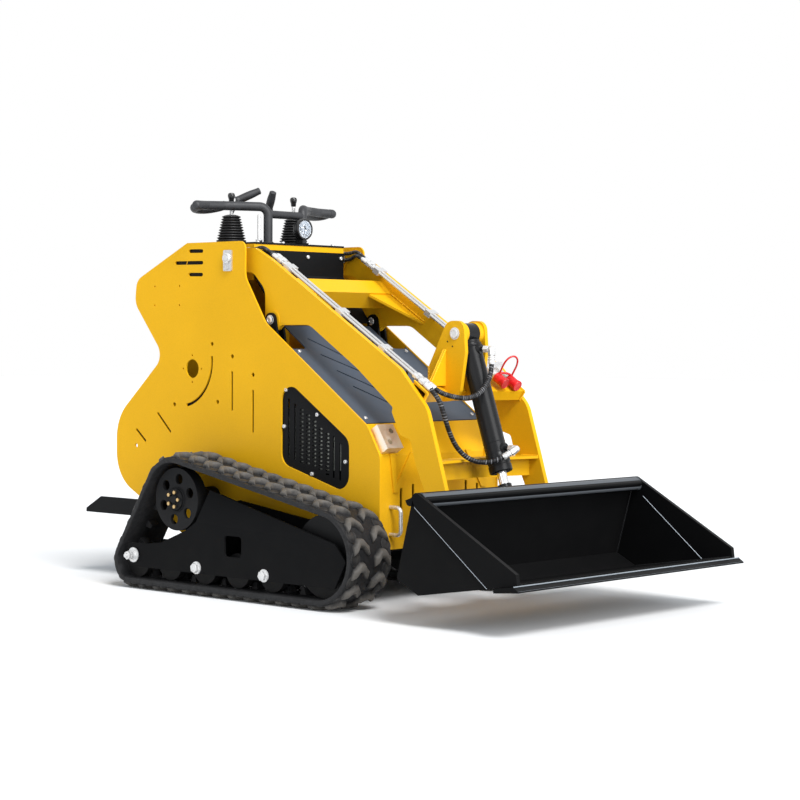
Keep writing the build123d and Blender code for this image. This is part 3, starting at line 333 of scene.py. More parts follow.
def finishes():
    """The looks by name, in the colours of the panel."""
    paint = bpy.context.scene.loader_paint
    black, rubber, dust = paint.black, paint.rubber, paint.dust
    return {
        "enamel": painted("enamel_yellow", paint.enamel, 0.34, 0.10, dust=(dust, 0.45, 0.12)),
        "black": painted("enamel_black", shade(black, 0.9), 0.40, 0.07, 0.5),
        "frame_black": painted(
            "undercarriage_black", shade(black, 0.85), 0.48, 0.02, 0.4, (dust, 0.35, 0.05)),
        "bucket_black": painted("bucket_black", shade(black, 0.55), 0.34, 0.04, 0.4, (dust, 0.5, 0.03)),
        "slate": painted("hood_slate", paint.slate, 0.5, 0.3, 0.6),
        "zinc": plated("zinc_plate", paint.zinc, 0.26, metal=0.55),
        "bolt": plated("fastener_zinc", shade(paint.zinc, 1.15), 0.22, metal=0.5),
        "chrome": chrome("rod_chrome"),
        "rubber": moulded("track_rubber", rubber, 0.62, 260.0, 0.35, (dust, 0.5, 0.5)),
        "boot": moulded("boot_rubber", shade(rubber, 0.7), 0.5),
        "grip": moulded("dipped_grip", paint.grip, 0.55, 520.0, 0.15),
        "cap": moulded("vinyl_cap", paint.cap, 0.35, 200.0, 0.1),
        "iron": painted("cast_black", shade(black, 1.4), 0.5, 0.08, 0.7, (dust, 0.35, 0.14)),
        "block": plated("valve_alloy", (0.82, 0.76, 0.66), 0.42, (0.78, 0.70, 0.58)),
        # the lip bar's blue grey, far lighter than the bucket's black: painted sky reflection
        "lip": painted("bucket_lip", (0.078, 0.086, 0.096), 0.34, 0.22, 0.4),
        "hose": braided("hose_cover", paint.hose),
        "lens": lens("lamp_lens"),
        "reflector": plated("lamp_reflector", (0.70, 0.72, 0.75), 0.12, (0.60, 0.62, 0.65), 0.85),
        "core": plated("radiator_fins", (0.26, 0.27, 0.25), 0.45, (0.20, 0.20, 0.18)),
        "bronze": plated("bolt_bronze", (0.60, 0.42, 0.20), 0.34, (0.45, 0.30, 0.14)),
        "knob": moulded("knob_plastic", shade(rubber, 0.6), 0.22, 120.0, 0.05),
        "lamp_black": moulded("lamp_housing", shade(rubber, 0.7), 0.38, 200.0, 0.1),
        "cylinder_black": painted("cylinder_black", shade(black, 1.4), 0.27, 0.16, 0.3),
        # real weld beads, but lighter than the enamel and black they sit on: painted highlight along the
        # corners
        "weld": beaded("enamel_weld", shade(paint.enamel, 1.25)),
        "bucket_weld": beaded("black_weld", shade(black, 1.5)),
        # bright blue grey lines along the bucket's edges: painted edge highlights
        "worn_edge": plated("worn_edge", (0.42, 0.47, 0.52), 0.38, (0.30, 0.33, 0.38)),
        "tread": tread_rubber("tread_rubber", rubber, dust),
    }


NODE_FINISH = {
    "enamel": (
        "side_plate_right", "side_plate_left", "front_panel", "console_frame", "rear_panel", "arm_right",
        "arm_left", "upper_crossmember", "lower_crossmember", "lower_brace", "lift_barrel_right",
        "lift_barrel_left",
    ),
    "black": (
        "console_cover", "console_front", "grilles", "platform", "lift_rod_right", "lift_rod_left",
        "lift_bases", "work_lamp",
    ),
    "cylinder_black": ("tilt_barrel",),
    "frame_black": ("track_frames", "belly_pan"),
    "bucket_black": ("bucket_shell", "bucket_carrier", "cutting_edge"),
    "slate": ("hood",),
    "zinc": ("hard_lines", "couplers", "boom_pins", "tilt_pin", "tie_downs"),
    "chrome": ("tilt_rod",),
    "rubber": ("track_right", "track_left"),
    "boot": ("joysticks",),
    "grip": ("handlebar", "levers"),
    "cap": ("coupler_caps",),
    "iron": ("drive_wheels", "rollers", "engine_block"),
    "block": ("valve_block",),
}


# ---------------- hand tools
def mode(name):
    bpy.ops.object.mode_set(mode=name)


def select_all():
    bpy.ops.mesh.select_all(action="SELECT")


def close_up(gap=0.0):
    """Leave edit mode with near points merged and the faces turned outwards."""
    select_all()
    if gap:
        bpy.ops.mesh.remove_doubles(threshold=gap)
    bpy.ops.mesh.normals_make_consistent(inside=False)
    mode("OBJECT")


def pick(*pieces):
    """Leave edit mode and select only these pieces, the first one active."""
    if bpy.context.object and bpy.context.object.mode != "OBJECT":
        mode("OBJECT")
    bpy.ops.object.select_all(action="DESELECT")
    for obj in pieces:
        obj.select_set(True)
    if pieces:
        bpy.context.view_layer.objects.active = pieces[0]


def join(pieces):
    pick(*pieces)
    if len(pieces) > 1:
        bpy.ops.object.join()
    return bpy.context.view_layer.objects.active


def drop(*pieces):
    for obj in pieces:
        bpy.data.objects.remove(obj, do_unlink=True)


def finish(pieces, name, body, look, angle=30.0):
    """Join, name, smooth and paint pieces, and hang them on their body."""
    obj = join(pieces)
    bpy.ops.object.shade_smooth_by_angle(angle=radians(angle))
    bpy.ops.object.transform_apply(location=True, rotation=True, scale=True)
    obj.name = name
    obj.data.name = name
    obj.data.materials.clear()
    obj.data.materials.append(finishes()[look])
    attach(obj, body)
    return obj


def copy_to(obj, point, axis=UP, spin=0.0):
    """Copy of a piece modelled round the origin along +Z, with its own mesh."""
    made = obj.copy()
    made.data = obj.data.copy()
    bpy.context.scene.collection.objects.link(made)
    turn = Vector(UP).rotation_difference(Vector(axis).normalized()).to_matrix().to_4x4()
    spun = Matrix.Rotation(spin, 4, "Z") @ obj.matrix_basis
    made.data.transform(Matrix.Translation(Vector(point)) @ turn @ spun)
    made.matrix_basis = Matrix.Identity(4)
    return made


def stamp(master, rows):
    """Copies of a master at rows (point, axis, spin); the master goes."""
    made = [copy_to(master, *row) for row in rows]
    drop(master)
    return made


def pair(x, y, z, spin=0.0, out=1):
    """Rows for the right and left side, their axes to the outside (1) or the inside (-1)."""
    return [(at(x, side * y, z), (0, side * out, 0), spin) for side in SIDES]


def cube(size, centre):
    """Box with its size and place in its mesh."""
    pick()
    bpy.ops.mesh.primitive_cube_add(size=1.0, location=centre, scale=size)
    bpy.ops.object.transform_apply(location=True, rotation=True, scale=True)
    return bpy.context.object


def soften(obj, width, segments):
    """Rounded edges."""
    edge = obj.modifiers.new("edge", "BEVEL")
    edge.width = width
    edge.segments = segments
    edge.limit_method = "ANGLE"
    bpy.ops.object.modifier_apply(modifier="edge")
    return obj


def plate(size, centre):
    """Thin plate with barely rounded edges."""
    return soften(cube(size, centre), 0.0004, 2)


def cylinder(sides, radius, depth, middle):
    pick()
    bpy.ops.mesh.primitive_cylinder_add(vertices=sides, radius=radius, depth=depth, location=(0, 0, middle))
    return bpy.context.object


def edit_cap(up):
    """Edit the active piece with the faces selected that look up (1) or down (-1)."""
    mode("EDIT")
    bpy.ops.mesh.select_mode(type="FACE")
    mesh = bmesh.from_edit_mesh(bpy.context.object.data)
    for face in mesh.faces:
        face.select = face.normal.z * up > 0.9
    mesh.select_flush(True)
    bmesh.update_edit_mesh(bpy.context.object.data)


def crown(obj, *steps, up=1):
    """Draw in and lift the cap of the active piece by rows (inset, lift)."""
    edit_cap(up)
    for inset, lift in steps:
        bpy.ops.mesh.inset(thickness=inset)
        bpy.ops.transform.translate(value=(0, 0, lift * up))
    mode("OBJECT")
    return obj


def button_head(r):
    """Button head screw with a socket, round the origin along +Z."""
    head = cylinder(20, r, r * 0.9, r * 0.35)
    return crown(head, (r * 0.25, r * 0.18), (r * 0.25, 0), (r * 0.04, -r * 0.4))


def hex_nut(r, height, stud, washer):
    """Hex nut on a washer with its stud end, round the origin along +Z."""
    base = cylinder(24, r * washer, height * 0.22, height * 0.11)
    nut = crown(cylinder(6, r, height * 0.8, height * 0.62), (r * 0.12, height * 0.07), (r * 0.2, 0))
    end = crown(cylinder(20, r * 0.5, stud, height * 0.8 + stud / 2), (r * 0.08, r * 0.1))
    return join([nut, base, end])


def hexagon(r, depth):
    """Hexagon with chamfered faces, from z = 0 up."""
    obj = cylinder(6, r, depth, depth / 2)
    for up in (1, -1):
        crown(obj, (r * 0.10, r * 0.07), up=up)
    return obj


def lathe(profile, steps):
    """Turned piece round +Z at the origin: its profile (radius, height), in mm, is drawn and then spun."""
    pick()
    bpy.ops.mesh.primitive_plane_add(size=0.01, location=(0, 0, 0))
    mode("EDIT")
    bpy.ops.mesh.select_mode(type="VERT")
    select_all()
    bpy.ops.mesh.merge(type="CENTER")
    bpy.ops.transform.translate(value=(profile[0][0] * MM, 0, profile[0][1] * MM))
    for (ra, ha), (rb, hb) in zip(profile, profile[1:]):
        step = ((rb - ra) * MM, 0, (hb - ha) * MM)
        bpy.ops.mesh.extrude_region_move(TRANSFORM_OT_translate={"value": step})
    select_all()
    bpy.ops.mesh.spin(steps=steps, angle=2 * pi, center=(0, 0, 0), axis=UP)
    close_up(1e-6)
    return bpy.context.object


def turned(profile, steps, rows):
    return stamp(lathe(profile, steps), rows)


def tube(name, route, radius, sides, along, smooth=True):
    """Round curve with closed ends along its route."""
    data = bpy.data.curves.new(name, "CURVE")
    data.dimensions = "3D"
    data.bevel_depth = radius
    data.bevel_resolution = sides
    data.resolution_u = along
    data.use_fill_caps = True
    spline = data.splines.new("NURBS" if smooth else "POLY")
    spline.points.add(len(route) - 1)
    for point, co in zip(spline.points, route):
        point.co = (*co, 1.0)
    if smooth:
        spline.order_u = 3
        spline.use_endpoint_u = True
    obj = bpy.data.objects.new(name, data)
    bpy.context.scene.collection.objects.link(obj)
    return obj


def bent_wire(route, radius, smooth=True, sides=3):
    """Round wire along its route, turned into a mesh."""
    pick(tube("wire", route, radius, sides, 8, smooth))
    bpy.ops.object.convert(target="MESH")
    return bpy.context.object


# ---------------- operators
CAMERA_AT = (5101.3, -4971.4, 821.3)        # millimetres from the drive axle
CAMERA_TURN = (132.36, -1.671, 0.275)       # yaw, pitch and roll in degrees


class LOADER_OT_stage(bpy.types.Operator):
    """Camera, pale floor and soft studio light"""
    bl_idname = "loader.stage"
    bl_label = "Stage"

    def execute(self, context):
        stage = context.scene.loader_stage
        scene = context.scene
        scene.view_settings.view_transform = "Standard"
        yaw, pitch, roll = (radians(angle) for angle in CAMERA_TURN)
        turn = Matrix.Rotation(yaw - pi / 2, 4, "Z") @ Matrix.Rotation(pitch + pi / 2, 4, "X")
        lens_data = bpy.data.cameras.new("camera")
        lens_data.sensor_width = 36.0
        lens_data.lens = stage.focal
        lens_data.clip_end = 200.0
        camera = bpy.data.objects.new("camera", lens_data)
        turn = turn @ Matrix.Rotation(roll, 4, "Z")
        camera.matrix_world = Matrix.Translation(at(*CAMERA_AT)) @ turn
        scene.collection.objects.link(camera)
        scene.camera = camera

        pick()
        bpy.ops.mesh.primitive_plane_add(size=stage.floor_size, location=(0, 0, -0.0005))
        floor = context.object
        floor.name = "studio_floor"
        pale = Look("studio_floor")
        pale.set(Base_Color=(0.92, 0.92, 0.92), Roughness=0.9, Specular_IOR_Level=0.1)
        floor.data.materials.append(pale.mat)

        # blue white sky for the light, plain white for what is seen
        world = bpy.data.worlds.new("studio")
        scene.world = world
        world.use_nodes = True
        tree = world.node_tree
        tree.nodes.clear()
        path = node(tree, "ShaderNodeLightPath").outputs
        soft = node(tree, "ShaderNodeBackground", Color=(0.86, 0.93, 1.0), Strength=0.5)
        white = node(tree, "ShaderNodeBackground", Color=(1.0, 1.0, 1.0), Strength=1.0)
        seen = combine(tree, "MAXIMUM", path["Is Camera Ray"], path["Is Transmission Ray"])
        seen = combine(tree, "MAXIMUM", seen, path["Is Glossy Ray"])
        blend = node(tree, "ShaderNodeMixShader", seen, soft.outputs[0], white.outputs[0])
        node(tree, "ShaderNodeOutputWorld", blend.outputs[0])

        for name, power, spread, aim in (
            ("key", stage.key_power, 22.0, (-0.62, 0.24, -0.76)),
            ("fill", 0.45, 60.0, (0.10, 0.95, -0.20)),
            ("front", stage.front_power, 40.0, (-0.94, 0.06, -0.33)),
        ):
            sun = bpy.data.lights.new(name, "SUN")
            sun.energy = power
            sun.angle = radians(spread)
            lamp = bpy.data.objects.new(name, sun)
            lamp.rotation_euler = Vector((0, 0, -1)).rotation_difference(Vector(aim).normalized()).to_euler()
            scene.collection.objects.link(lamp)
        return {"FINISHED"}


class LOADER_OT_finishes(bpy.types.Operator):
    """Paint, plate and rubber on the model's own pieces"""
    bl_idname = "loader.finishes"
    bl_label = "Finishes"

    def execute(self, context):
        looks = finishes()
        for look, names in NODE_FINISH.items():
            for name in names:
                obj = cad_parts[name]
                obj.data.materials.clear()
                obj.data.materials.append(looks[look])
        return {"FINISHED"}


# hoses held at both ends: name, node, length and route in metres, exit first
TILT_HOSES = (
    ("tilt_hose_to_base", "tilt_hose_upper", 0.3269, (
        (0.44535, -0.198, 0.68248), (0.47259, -0.198, 0.66569), (0.4945, -0.18, 0.652),
        (0.5095, -0.145, 0.643), (0.5195, -0.102, 0.64), (0.5255, -0.058, 0.654), (0.5285, -0.022, 0.688),
        (0.5245, 0.0, 0.728), (0.5165, 0.008, 0.768),
    )),
    ("tilt_hose_to_gland", "tilt_hose_lower", 0.4174, (
        (0.44535, -0.216, 0.68248), (0.47259, -0.216, 0.66569), (0.4965, -0.207, 0.631),
        (0.5015, -0.19, 0.58), (0.4985, -0.165, 0.535), (0.5015, -0.138, 0.492), (0.5185, -0.106, 0.458),
        (0.5515, -0.074, 0.444), (0.5905, -0.046, 0.453), (0.6105, -0.014, 0.476),
    )),
)
# length, and route on the right side
ARM_HOSES = (
    (0.1387, (
        (-0.3195, -0.221, 1.107), (-0.2915, -0.221, 1.107), (-0.2565, -0.219, 1.115),
        (-0.2213, -0.216, 1.09326), (-0.1915, -0.216, 1.0749),
    )),
    (0.1389, (
        (-0.3195, -0.221, 1.085), (-0.2895, -0.221, 1.085), (-0.2545, -0.211, 1.101),
        (-0.2213, -0.198, 1.09326), (-0.1915, -0.198, 1.0749),
    )),
)


class LOADER_OT_hoses(bpy.types.Operator):
    """Hydraulic hoses on the boom and to the tilt cylinder"""
    bl_idname = "loader.hoses"
    bl_label = "Hoses"

    def hose(self, name, route, length, width, body, cad, lay):
        obj = tube(name, route, width / 2, 6, 10)
        obj.data.materials.append(finishes()["hose"])
        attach(obj, body)
        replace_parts(obj, cad)

    def execute(self, context):
        sizes = context.scene.loader_hoses
        for name, cad, length, route in TILT_HOSES:
            self.hose(name, route, length, sizes.tilt_diameter, "tilt_cylinder", cad, "hanging")
        width = sizes.arm_diameter
        for side, word in ((1, "right"), (-1, "left")):
            for k, (length, route) in enumerate(ARM_HOSES, 1):
                route = tuple((x, y * side, z) for x, y, z in route)
                self.hose(f"arm_hose_{word}_{k}", route, length, width, "boom", "arm_hoses", "taut")
        return {"FINISHED"}


class LOADER_OT_cover_screws(bpy.types.Operator):
    """Button head screws of grilles, console and hood"""
    bl_idname = "loader.cover_screws"
    bl_label = "Cover screws"

    def execute(self, context):
        rows = []
        for x, z in ((333, 657), (471, 582), (325, 541), (594, 440), (449, 396)):       # grilles
            rows += pair(x, 274.2, z, 0.3)
        rows += [(at(115.2, y, 1090), AHEAD) for y in (36, 194, -194)]       # front and top of the console
        rows += [(at(96, y, CONSOLE_Z), UP) for y in (175, -175, 60, -60)]
        for x, z in ((367, 780), (655, 577.5)):     # hood
            rows += [(Vector(at(x, side * 251, z)) - HOOD_OUT * 0.0042, HOOD_OUT) for side in SIDES]
        head = button_head(context.scene.loader_fasteners.button_radius)
        finish(stamp(head, rows), "cover_screws", "chassis", "bolt")
        return {"FINISHED"}


# profiles of turned pieces are rows (radius, height) in millimetres
HUB_RING = ((0, 0), (12.5, 0), (13.5, 2), (13.5, 6), (10, 8.5), (0, 8.5))
HUB_RIM = ((36.5, -2), (40, -2), (40, 3), (38.5, 4.2), (36.5, 3), (36.5, -2))
PIVOT_HEAD = ((0, 0), (17.2, 0), (17.6, 1.5), (16, 4.5), (12.5, 5.5), (10.8, 4), (6, 3.2), (0, 3.2))


class LOADER_OT_roller_nuts(bpy.types.Operator):
    """Nuts and studs of rollers and tensioner, drive wheel bolts, pivot lock bolts"""
    bl_idname = "loader.roller_nuts"
    bl_label = "Roller nuts"

    def execute(self, context):
        r = context.scene.loader_fasteners.nut_radius
        nut = hex_nut(r * 1.16, height=0.014, stud=0.003, washer=1.28)
        rows = pair(113, 455, 90, 0.2) + pair(421, 455, 89, 0.7)
        finish(stamp(nut, rows), "roller_nuts", "chassis", "bolt")
        nut = hex_nut(r * 1.2, height=0.014, stud=0.004, washer=1.5)
        lock_nut = hex_nut(r * 1.05, height=0.013, stud=0.010, washer=1.02)
        made = stamp(nut, pair(-188, 459, 110, 0.4)) + stamp(lock_nut, pair(-188, 475, 110, 0.9))
        finish(made, "tensioner_nuts", "chassis", "bolt")
        rows = []
        for i in range(5):
            a = radians(72 * i)
            rows += pair(24 * cos(a), 454, AXLE_Z + 24 * sin(a), 0.3 * i)
        finish(stamp(hexagon(0.0064, 0.005), rows), "hub_bolts", "chassis", "bronze")
        made = turned(HUB_RING, 36, pair(0, 448, AXLE_Z)) + turned(HUB_RIM, 48, pair(0, 440, AXLE_Z))
        finish(made, "hub_rings", "chassis", "iron")
        made = turned(PIVOT_HEAD, 36, pair(69, 288, 1078))
        made += stamp(hexagon(0.0098, 0.006), pair(69, 288, 1078, 0.35))
        finish(made, "pivot_bolts", "chassis", "bolt")
        return {"FINISHED"}


ARM_CRIMP = (
    (0, 0), (7.8, 0), (8.6, 1), (8.6, 4), (7.6, 4.8), (7.6, 6.2), (8.6, 7), (8.6, 11), (7.6, 11.8),
    (7.6, 13.2), (8.6, 14), (8.6, 18), (7.6, 19), (7, 24), (0, 24),
)


class LOADER_OT_line_fittings(bpy.types.Operator):
    """Hex nuts and crimped ferrules of the hydraulic lines on the boom"""
    bl_idname = "loader.line_fittings"
    bl_label = "Line fittings"

    def execute(self, context):
        made = []
        for r, depth, near, far in ((0.0101, 0.015, 0.006, 0.021), (0.0088, 0.013, 0.034, 0.052)):
            rows = []
            for side in SIDES:
                for y in LINE_Y:
                    for way in (near, LINE_END[side] - far):
                        p = LINE_FROM + LINE_DIR * way
                        rows.append(((p.x, side * y, p.z), LINE_DIR, pi / 6))
            made += stamp(hexagon(r, depth), rows)
        finish(made, "line_nuts", "boom", "bolt")
        rows = []
        for side in SIDES:
            for length, route in ARM_HOSES:
                tip = Vector(route[-1])
                back = (Vector(route[-2]) - tip).normalized()
                rows.append(((tip.x, side * tip.y, tip.z), (back.x, side * back.y, back.z)))
        finish(turned(ARM_CRIMP, 28, rows), "arm_hose_ferrules", "boom", "bolt")
        return {"FINISHED"}


TILT_CRIMP = (
    (0, 0), (9.4, 0), (10.2, 1.5), (10.2, 5), (9.2, 6), (9.2, 7.5), (10.2, 8.5), (10.2, 13), (9.2, 14),
    (9.2, 15.5), (10.2, 16.5), (10.2, 22), (8.8, 24.5), (8, 27), (0, 27),
)
ELBOW = ((0, -10.5), (6, -9.2), (9.6, -5.2), (10.8, 0), (9.6, 5.2), (6, 9.2), (0, 10.5))
PORT = ((0, -8), (17, -8), (17.2, 6), (15.5, 8.5), (0, 8.5))
ELBOW_REACH = 0.022     # from the hose's end to its elbow, in metres
PORT_OUT = 0.022        # from the barrel's axis forward to the port's root
NUT_BACK = 0.026        # from the elbow back to the nut on the port
# rings on the tilt barrel: distance from its eye in metres, profile
BARREL_RINGS = (
    (0.036, ((33.5, 0), (35.2, 0), (37.2, 3), (37.2, 11), (35.2, 14), (33.5, 14), (33.5, 0))),
    (0.386, (
        (33.5, 0), (34.8, 0), (36, 2), (36, 30), (34.5, 33), (34.5, 37), (36, 39), (36, 58), (34, 60.5),
        (33.5, 60.5), (33.5, 0),
    )),
    (0.352, ((33.5, 0), (34.5, 0), (35, 1.2), (34.5, 2.4), (33.5, 2.4), (33.5, 0))),
)
ROD_NECK = ((15.2, 484), (19.5, 484), (21.6, 487), (21.6, 561), (20.5, 562), (15.2, 562), (15.2, 484))
ROD_EYE = (
    (22.5, -22.2), (23.4, -22.2), (23.6, -21.4), (23.6, 21.4), (23.4, 22.2), (22.5, 22.2), (22.5, -22.2),
)


class LOADER_OT_tilt_fittings(bpy.types.Operator):
    """Elbows, ferrules, gland ring, weld collars and rod end of the tilt cylinder"""
    bl_idname = "loader.tilt_fittings"
    bl_label = "Tilt cylinder fittings"

    def execute(self, context):
        eye, rod = Vector(at(*TILT_EYE)), Vector(at(*TILT_ROD_EYE))
        crimps, nuts, elbows, ports = [], [], [], []
        for name, cad, length, route in TILT_HOSES:
            start, after, before, tip = (Vector(route[k]) for k in (0, 1, -2, -1))
            out = (tip - before).normalized()
            crimps += [(start, after - start), (tip, -out)]
            corner = tip + out * ELBOW_REACH
            root = eye + (rod - eye) * ((corner.z - eye.z) / (rod.z - eye.z)) + Vector((PORT_OUT, 0, 0))
            across = (corner - root).normalized()
            nuts += [(tip + out * 0.002, out, 0.3), (corner - across * NUT_BACK, across, 0.2)]
            elbows.append((corner, across))
            ports.append((root + across * 0.010, across))
        made = turned(TILT_CRIMP, 28, crimps) + stamp(hexagon(0.0118, 0.016), nuts)
        made += turned(ELBOW, 24, elbows)
        finish(made, "tilt_hose_fittings", "tilt_cylinder", "bolt", 40)
        way = (rod - eye).normalized()
        made = turned(PORT, 32, ports)
        for far, profile in BARREL_RINGS:
            made += turned(profile, 48, [(eye + way * far, way)])
        finish(made, "tilt_barrel_collars", "tilt_cylinder", "cylinder_black", 35)
        made = turned(ROD_NECK, 40, [(eye, way)]) + turned(ROD_EYE, 48, [(rod, (0, 1, 0))])
        finish(made, "tilt_rod_end", "tilt_rod_body", "cylinder_black", 35)
        return {"FINISHED"}


TILT_PIN_HEAD = ((0, 0), (15.2, 0), (15.2, 1.4), (14, 2.4), (10, 2.6), (9.2, 1.8), (0, 1.8))
TILT_CLIP = ((15, 0), (18.6, 0), (18.6, 2.2), (15, 2.2), (15, 0))
LIFT_PIN_HEAD = ((0, 0), (12.8, 0), (12.8, 1.2), (11.2, 2.4), (6, 2.6), (5, 1.2), (0, 1.2))
LIFT_CLIP = ((12.4, 0), (15.8, 0), (15.8, 1.6), (12.4, 1.6), (12.4, 0))
EYE_BOSS = ((32.2, 0), (34.5, 0), (34.5, 15), (33.5, 16.5), (32.2, 16.5), (32.2, 0))
# flat black disc standing for a hole: painted shade of the hole's inside
GREASE_HOLE = ((0, 0), (2.8, 0), (2.8, 0.2), (0, 0.3))


class LOADER_OT_pin_heads(bpy.types.Operator):
    """Pin heads and circlips at the tilt cylinder's eye and the lift cylinders' forks"""
    bl_idname = "loader.pin_heads"
    bl_label = "Pin heads"

    def execute(self, context):
        x, y, z = TILT_EYE
        made = turned(TILT_PIN_HEAD, 40, pair(x, 61, z)) + turned(TILT_CLIP, 40, pair(x, 56.2, z))
        finish(made, "tilt_pin_heads", "boom", "bolt")
        ex, ez = LIFT_EYE
        for side, word in WORDS:
            rows = [(at(ex, side * y, ez), (0, side * out, 0)) for y, out in ((261.5, 1), (214.5, -1))]
            made = turned(LIFT_PIN_HEAD, 36, rows)
            made += turned(LIFT_CLIP, 36, [(at(ex, side * 257.6, ez), (0, side, 0))])
            finish(made, f"lift_pin_heads_{word}", f"lift_rod_{word[0]}", "bolt")
        made = turned(EYE_BOSS, 48, pair(x, 41.8, z, out=-1))
        finish(made, "tilt_eye_bosses", "boom", "enamel")
        rows = pair(816, 56, 812) + pair(836, 56, 797)
        finish(turned(GREASE_HOLE, 16, rows), "ear_grease_hole_shade", "boom", "black")
        return {"FINISHED"}


COUPLER_WAY = Vector((0.852, 0.0, -0.523)).normalized()
COUPLER_UP = Vector((0.523, 0.0, 0.852))
SLEEVE = (
    (9, 0), (12.8, 0), (13.6, 1), (13.6, 4), (12.6, 5), (12.6, 8), (13.6, 9), (13.6, 13), (12.6, 14),
    (12.6, 17), (13.6, 18), (13.6, 21), (9, 21.5), (9, 0),
)
DUST_CAP = (
    (14.8, 0), (16.4, 0), (16.8, 2), (15.8, 5), (15.6, 10), (16, 12), (16, 15), (15.6, 17), (15.6, 34),
    (17.2, 35), (17.6, 37), (17.6, 41.5), (16.8, 43), (14.5, 43.2), (13.8, 42.2), (0, 42.2), (0, 38.5),
    (14.8, 38.5), (14.8, 0),
)


class LOADER_OT_couplers(bpy.types.Operator):
    """Knurled sleeves, cap rims and the red strap loop of the quick couplers"""
    bl_idname = "loader.couplers"
    bl_label = "Quick couplers"

    def execute(self, context):
        way, up = COUPLER_WAY, COUPLER_UP
        sleeves, nuts, caps = [], [], []
        for y, mid in ((198, 86), (152, 72)):       # and the way from the root to the coupler's middle
            root = Vector(at(796, y, 729))
            sleeves.append((root + way * ((mid - 42) * MM), way))
            nuts.append((root + way * 0.010, way, 0.25))
            caps.append((root + way * ((mid - 19.5) * MM), way))
        made = turned(SLEEVE, 32, sleeves) + stamp(hexagon(0.0118, 0.012), nuts)
        finish(made, "coupler_sleeves", "boom", "bolt")
        red = turned(DUST_CAP, 36, caps)
        b, a = (start + way * 0.004 + up * 0.013 for start, way in caps)
        side = (b - a).normalized()
        low, high = a + up * 0.010, b + up * 0.010
        strap = (
            a - up * 0.004, a + up * 0.016,
            low - side * 0.001 + up * 0.030, low + up * 0.052 + side * 0.006, (low + high) / 2 + up * 0.062,
            high + up * 0.052 - side * 0.006, high + side * 0.001 + up * 0.030,
            b + up * 0.016, b - up * 0.004,
        )
        neck = (
            a + up * 0.002, a + up * 0.007 + side * 0.012, b + up * 0.007 - side * 0.012, b + up * 0.002,
        )
        red += [bent_wire(strap, 0.0030), bent_wire(neck, 0.0036)]
        finish(red, "dust_cap_strap", "boom", "cap", 40)
        return {"FINISHED"}


STEM = ((0, 90), (6, 90), (6, 138), (8.5, 140), (8.5, 146), (0, 146))
BALL = (
    (0, 138), (7.8, 138), (8.6, 140), (9.2, 148), (10.6, 152), (12, 158), (11.9, 163), (9.8, 167.5),
    (5.8, 169.5), (0, 170),
)
BAR_PLUG = ((0, -12), (15.4, -12), (15.5, 0), (14, 6), (10.5, 10.5), (5.5, 12.8), (0, 13.4))
BAR_FOOT = ((15, 0), (20, 0), (19.8, 3), (17.5, 6), (15, 7), (15, 0))
BAR_LOOP = (
    (-46, 298, 1252), (-56, 305, 1250), (-76, 299, 1245), (-90, 276, 1242), (-90, 236, 1243),
    (-76, 204, 1249), (-54, 192, 1255), (-44, 192, 1258),
)
ROD_SLEEVE = (
    (0, 10.5), (11.5, 10.5), (11.5, 12.5), (6.8, 14), (5.8, 16), (5.8, 92.5), (4.6, 94.5), (0, 94.8),
)
BOOT_FOLDS = 10


class LOADER_OT_controls(bpy.types.Operator):
    """Bellows, ball knobs and lever grips on the console"""
    bl_idname = "loader.controls"
    bl_label = "Controls"

    def boot_profile(self):
        """Bellows that narrow upwards from 50.5 to 30 mm outside and from 42.5 to 23.5 mm in the folds."""
        profile = [(0, 0), (52, 0), (52, 4), (49, 6)]
        for i in range(BOOT_FOLDS):
            k0, k1 = (i + 0.5) / BOOT_FOLDS, (i + 1) / BOOT_FOLDS
            outer = 50.5 - 20.5 * k0
            ridge = 6 + 88 * k0
            profile += [(outer, ridge - 1.2), (outer + 0.6, ridge), (outer, ridge + 1.2)]
            profile.append((42.5 - 19 * k1, 6 + 88 * k1))
        return profile + [(15, 96.5), (0, 96.5)]

    def execute(self, context):
        boot, stem, ball = lathe(self.boot_profile(), 40), lathe(STEM, 24), lathe(BALL, 28)
        for side, word in WORDS:
            place = at(-62, side * 145, CONSOLE_Z)
            made = [copy_to(boot, place)]
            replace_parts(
                finish(made, f"joystick_boot_{word}", "chassis", "boot", 25), "joysticks")
            finish([copy_to(stem, place)], f"joystick_stem_{word}", "chassis", "bolt")
            finish([copy_to(ball, place)], f"joystick_knob_{word}", "chassis", "knob")
        drop(boot, stem, ball)

        made = []
        for low, tip in (((-124, -60, 1283), (-78, 0, 1317)), ((-75, 40, 1258), (-44, 30, 1312))):
            way = Vector(tip) - Vector(low)
            end = way.length
            grip = (
                (0, -3), (14.5, -3), (15.5, -1), (14.5, 1), (13.5, 3), (13.2, 10), (13.8, end * 0.3),
                (13.8, end * 0.6), (11.8, end - 6), (12, end - 3), (11.4, end), (9, end + 1.6),
                (5, end + 2.2), (0, end + 2.2),
            )
            made += turned(grip, 28, [(at(*low), way)])
        finish(made, "lever_grips", "chassis", "grip")

        plugs = [(at(-44, side * 316, 1252), (12, side * 54, -2)) for side in SIDES]
        made = turned(BAR_PLUG, 32, plugs)
        made += turned(BAR_FOOT, 32, [(at(46, side * 80, CONSOLE_Z),) for side in SIDES])
        for side in SIDES:
            made.append(bent_wire([at(x, side * y, z) for x, y, z in BAR_LOOP], 0.0148, sides=6))
        finish(made, "handlebar_ends", "chassis", "grip")
        made = turned(ROD_SLEEVE, 28, [(at(43, -118, CONSOLE_Z),)])
        finish(made, "control_rod_sleeve", "chassis", "bolt")
        return {"FINISHED"}


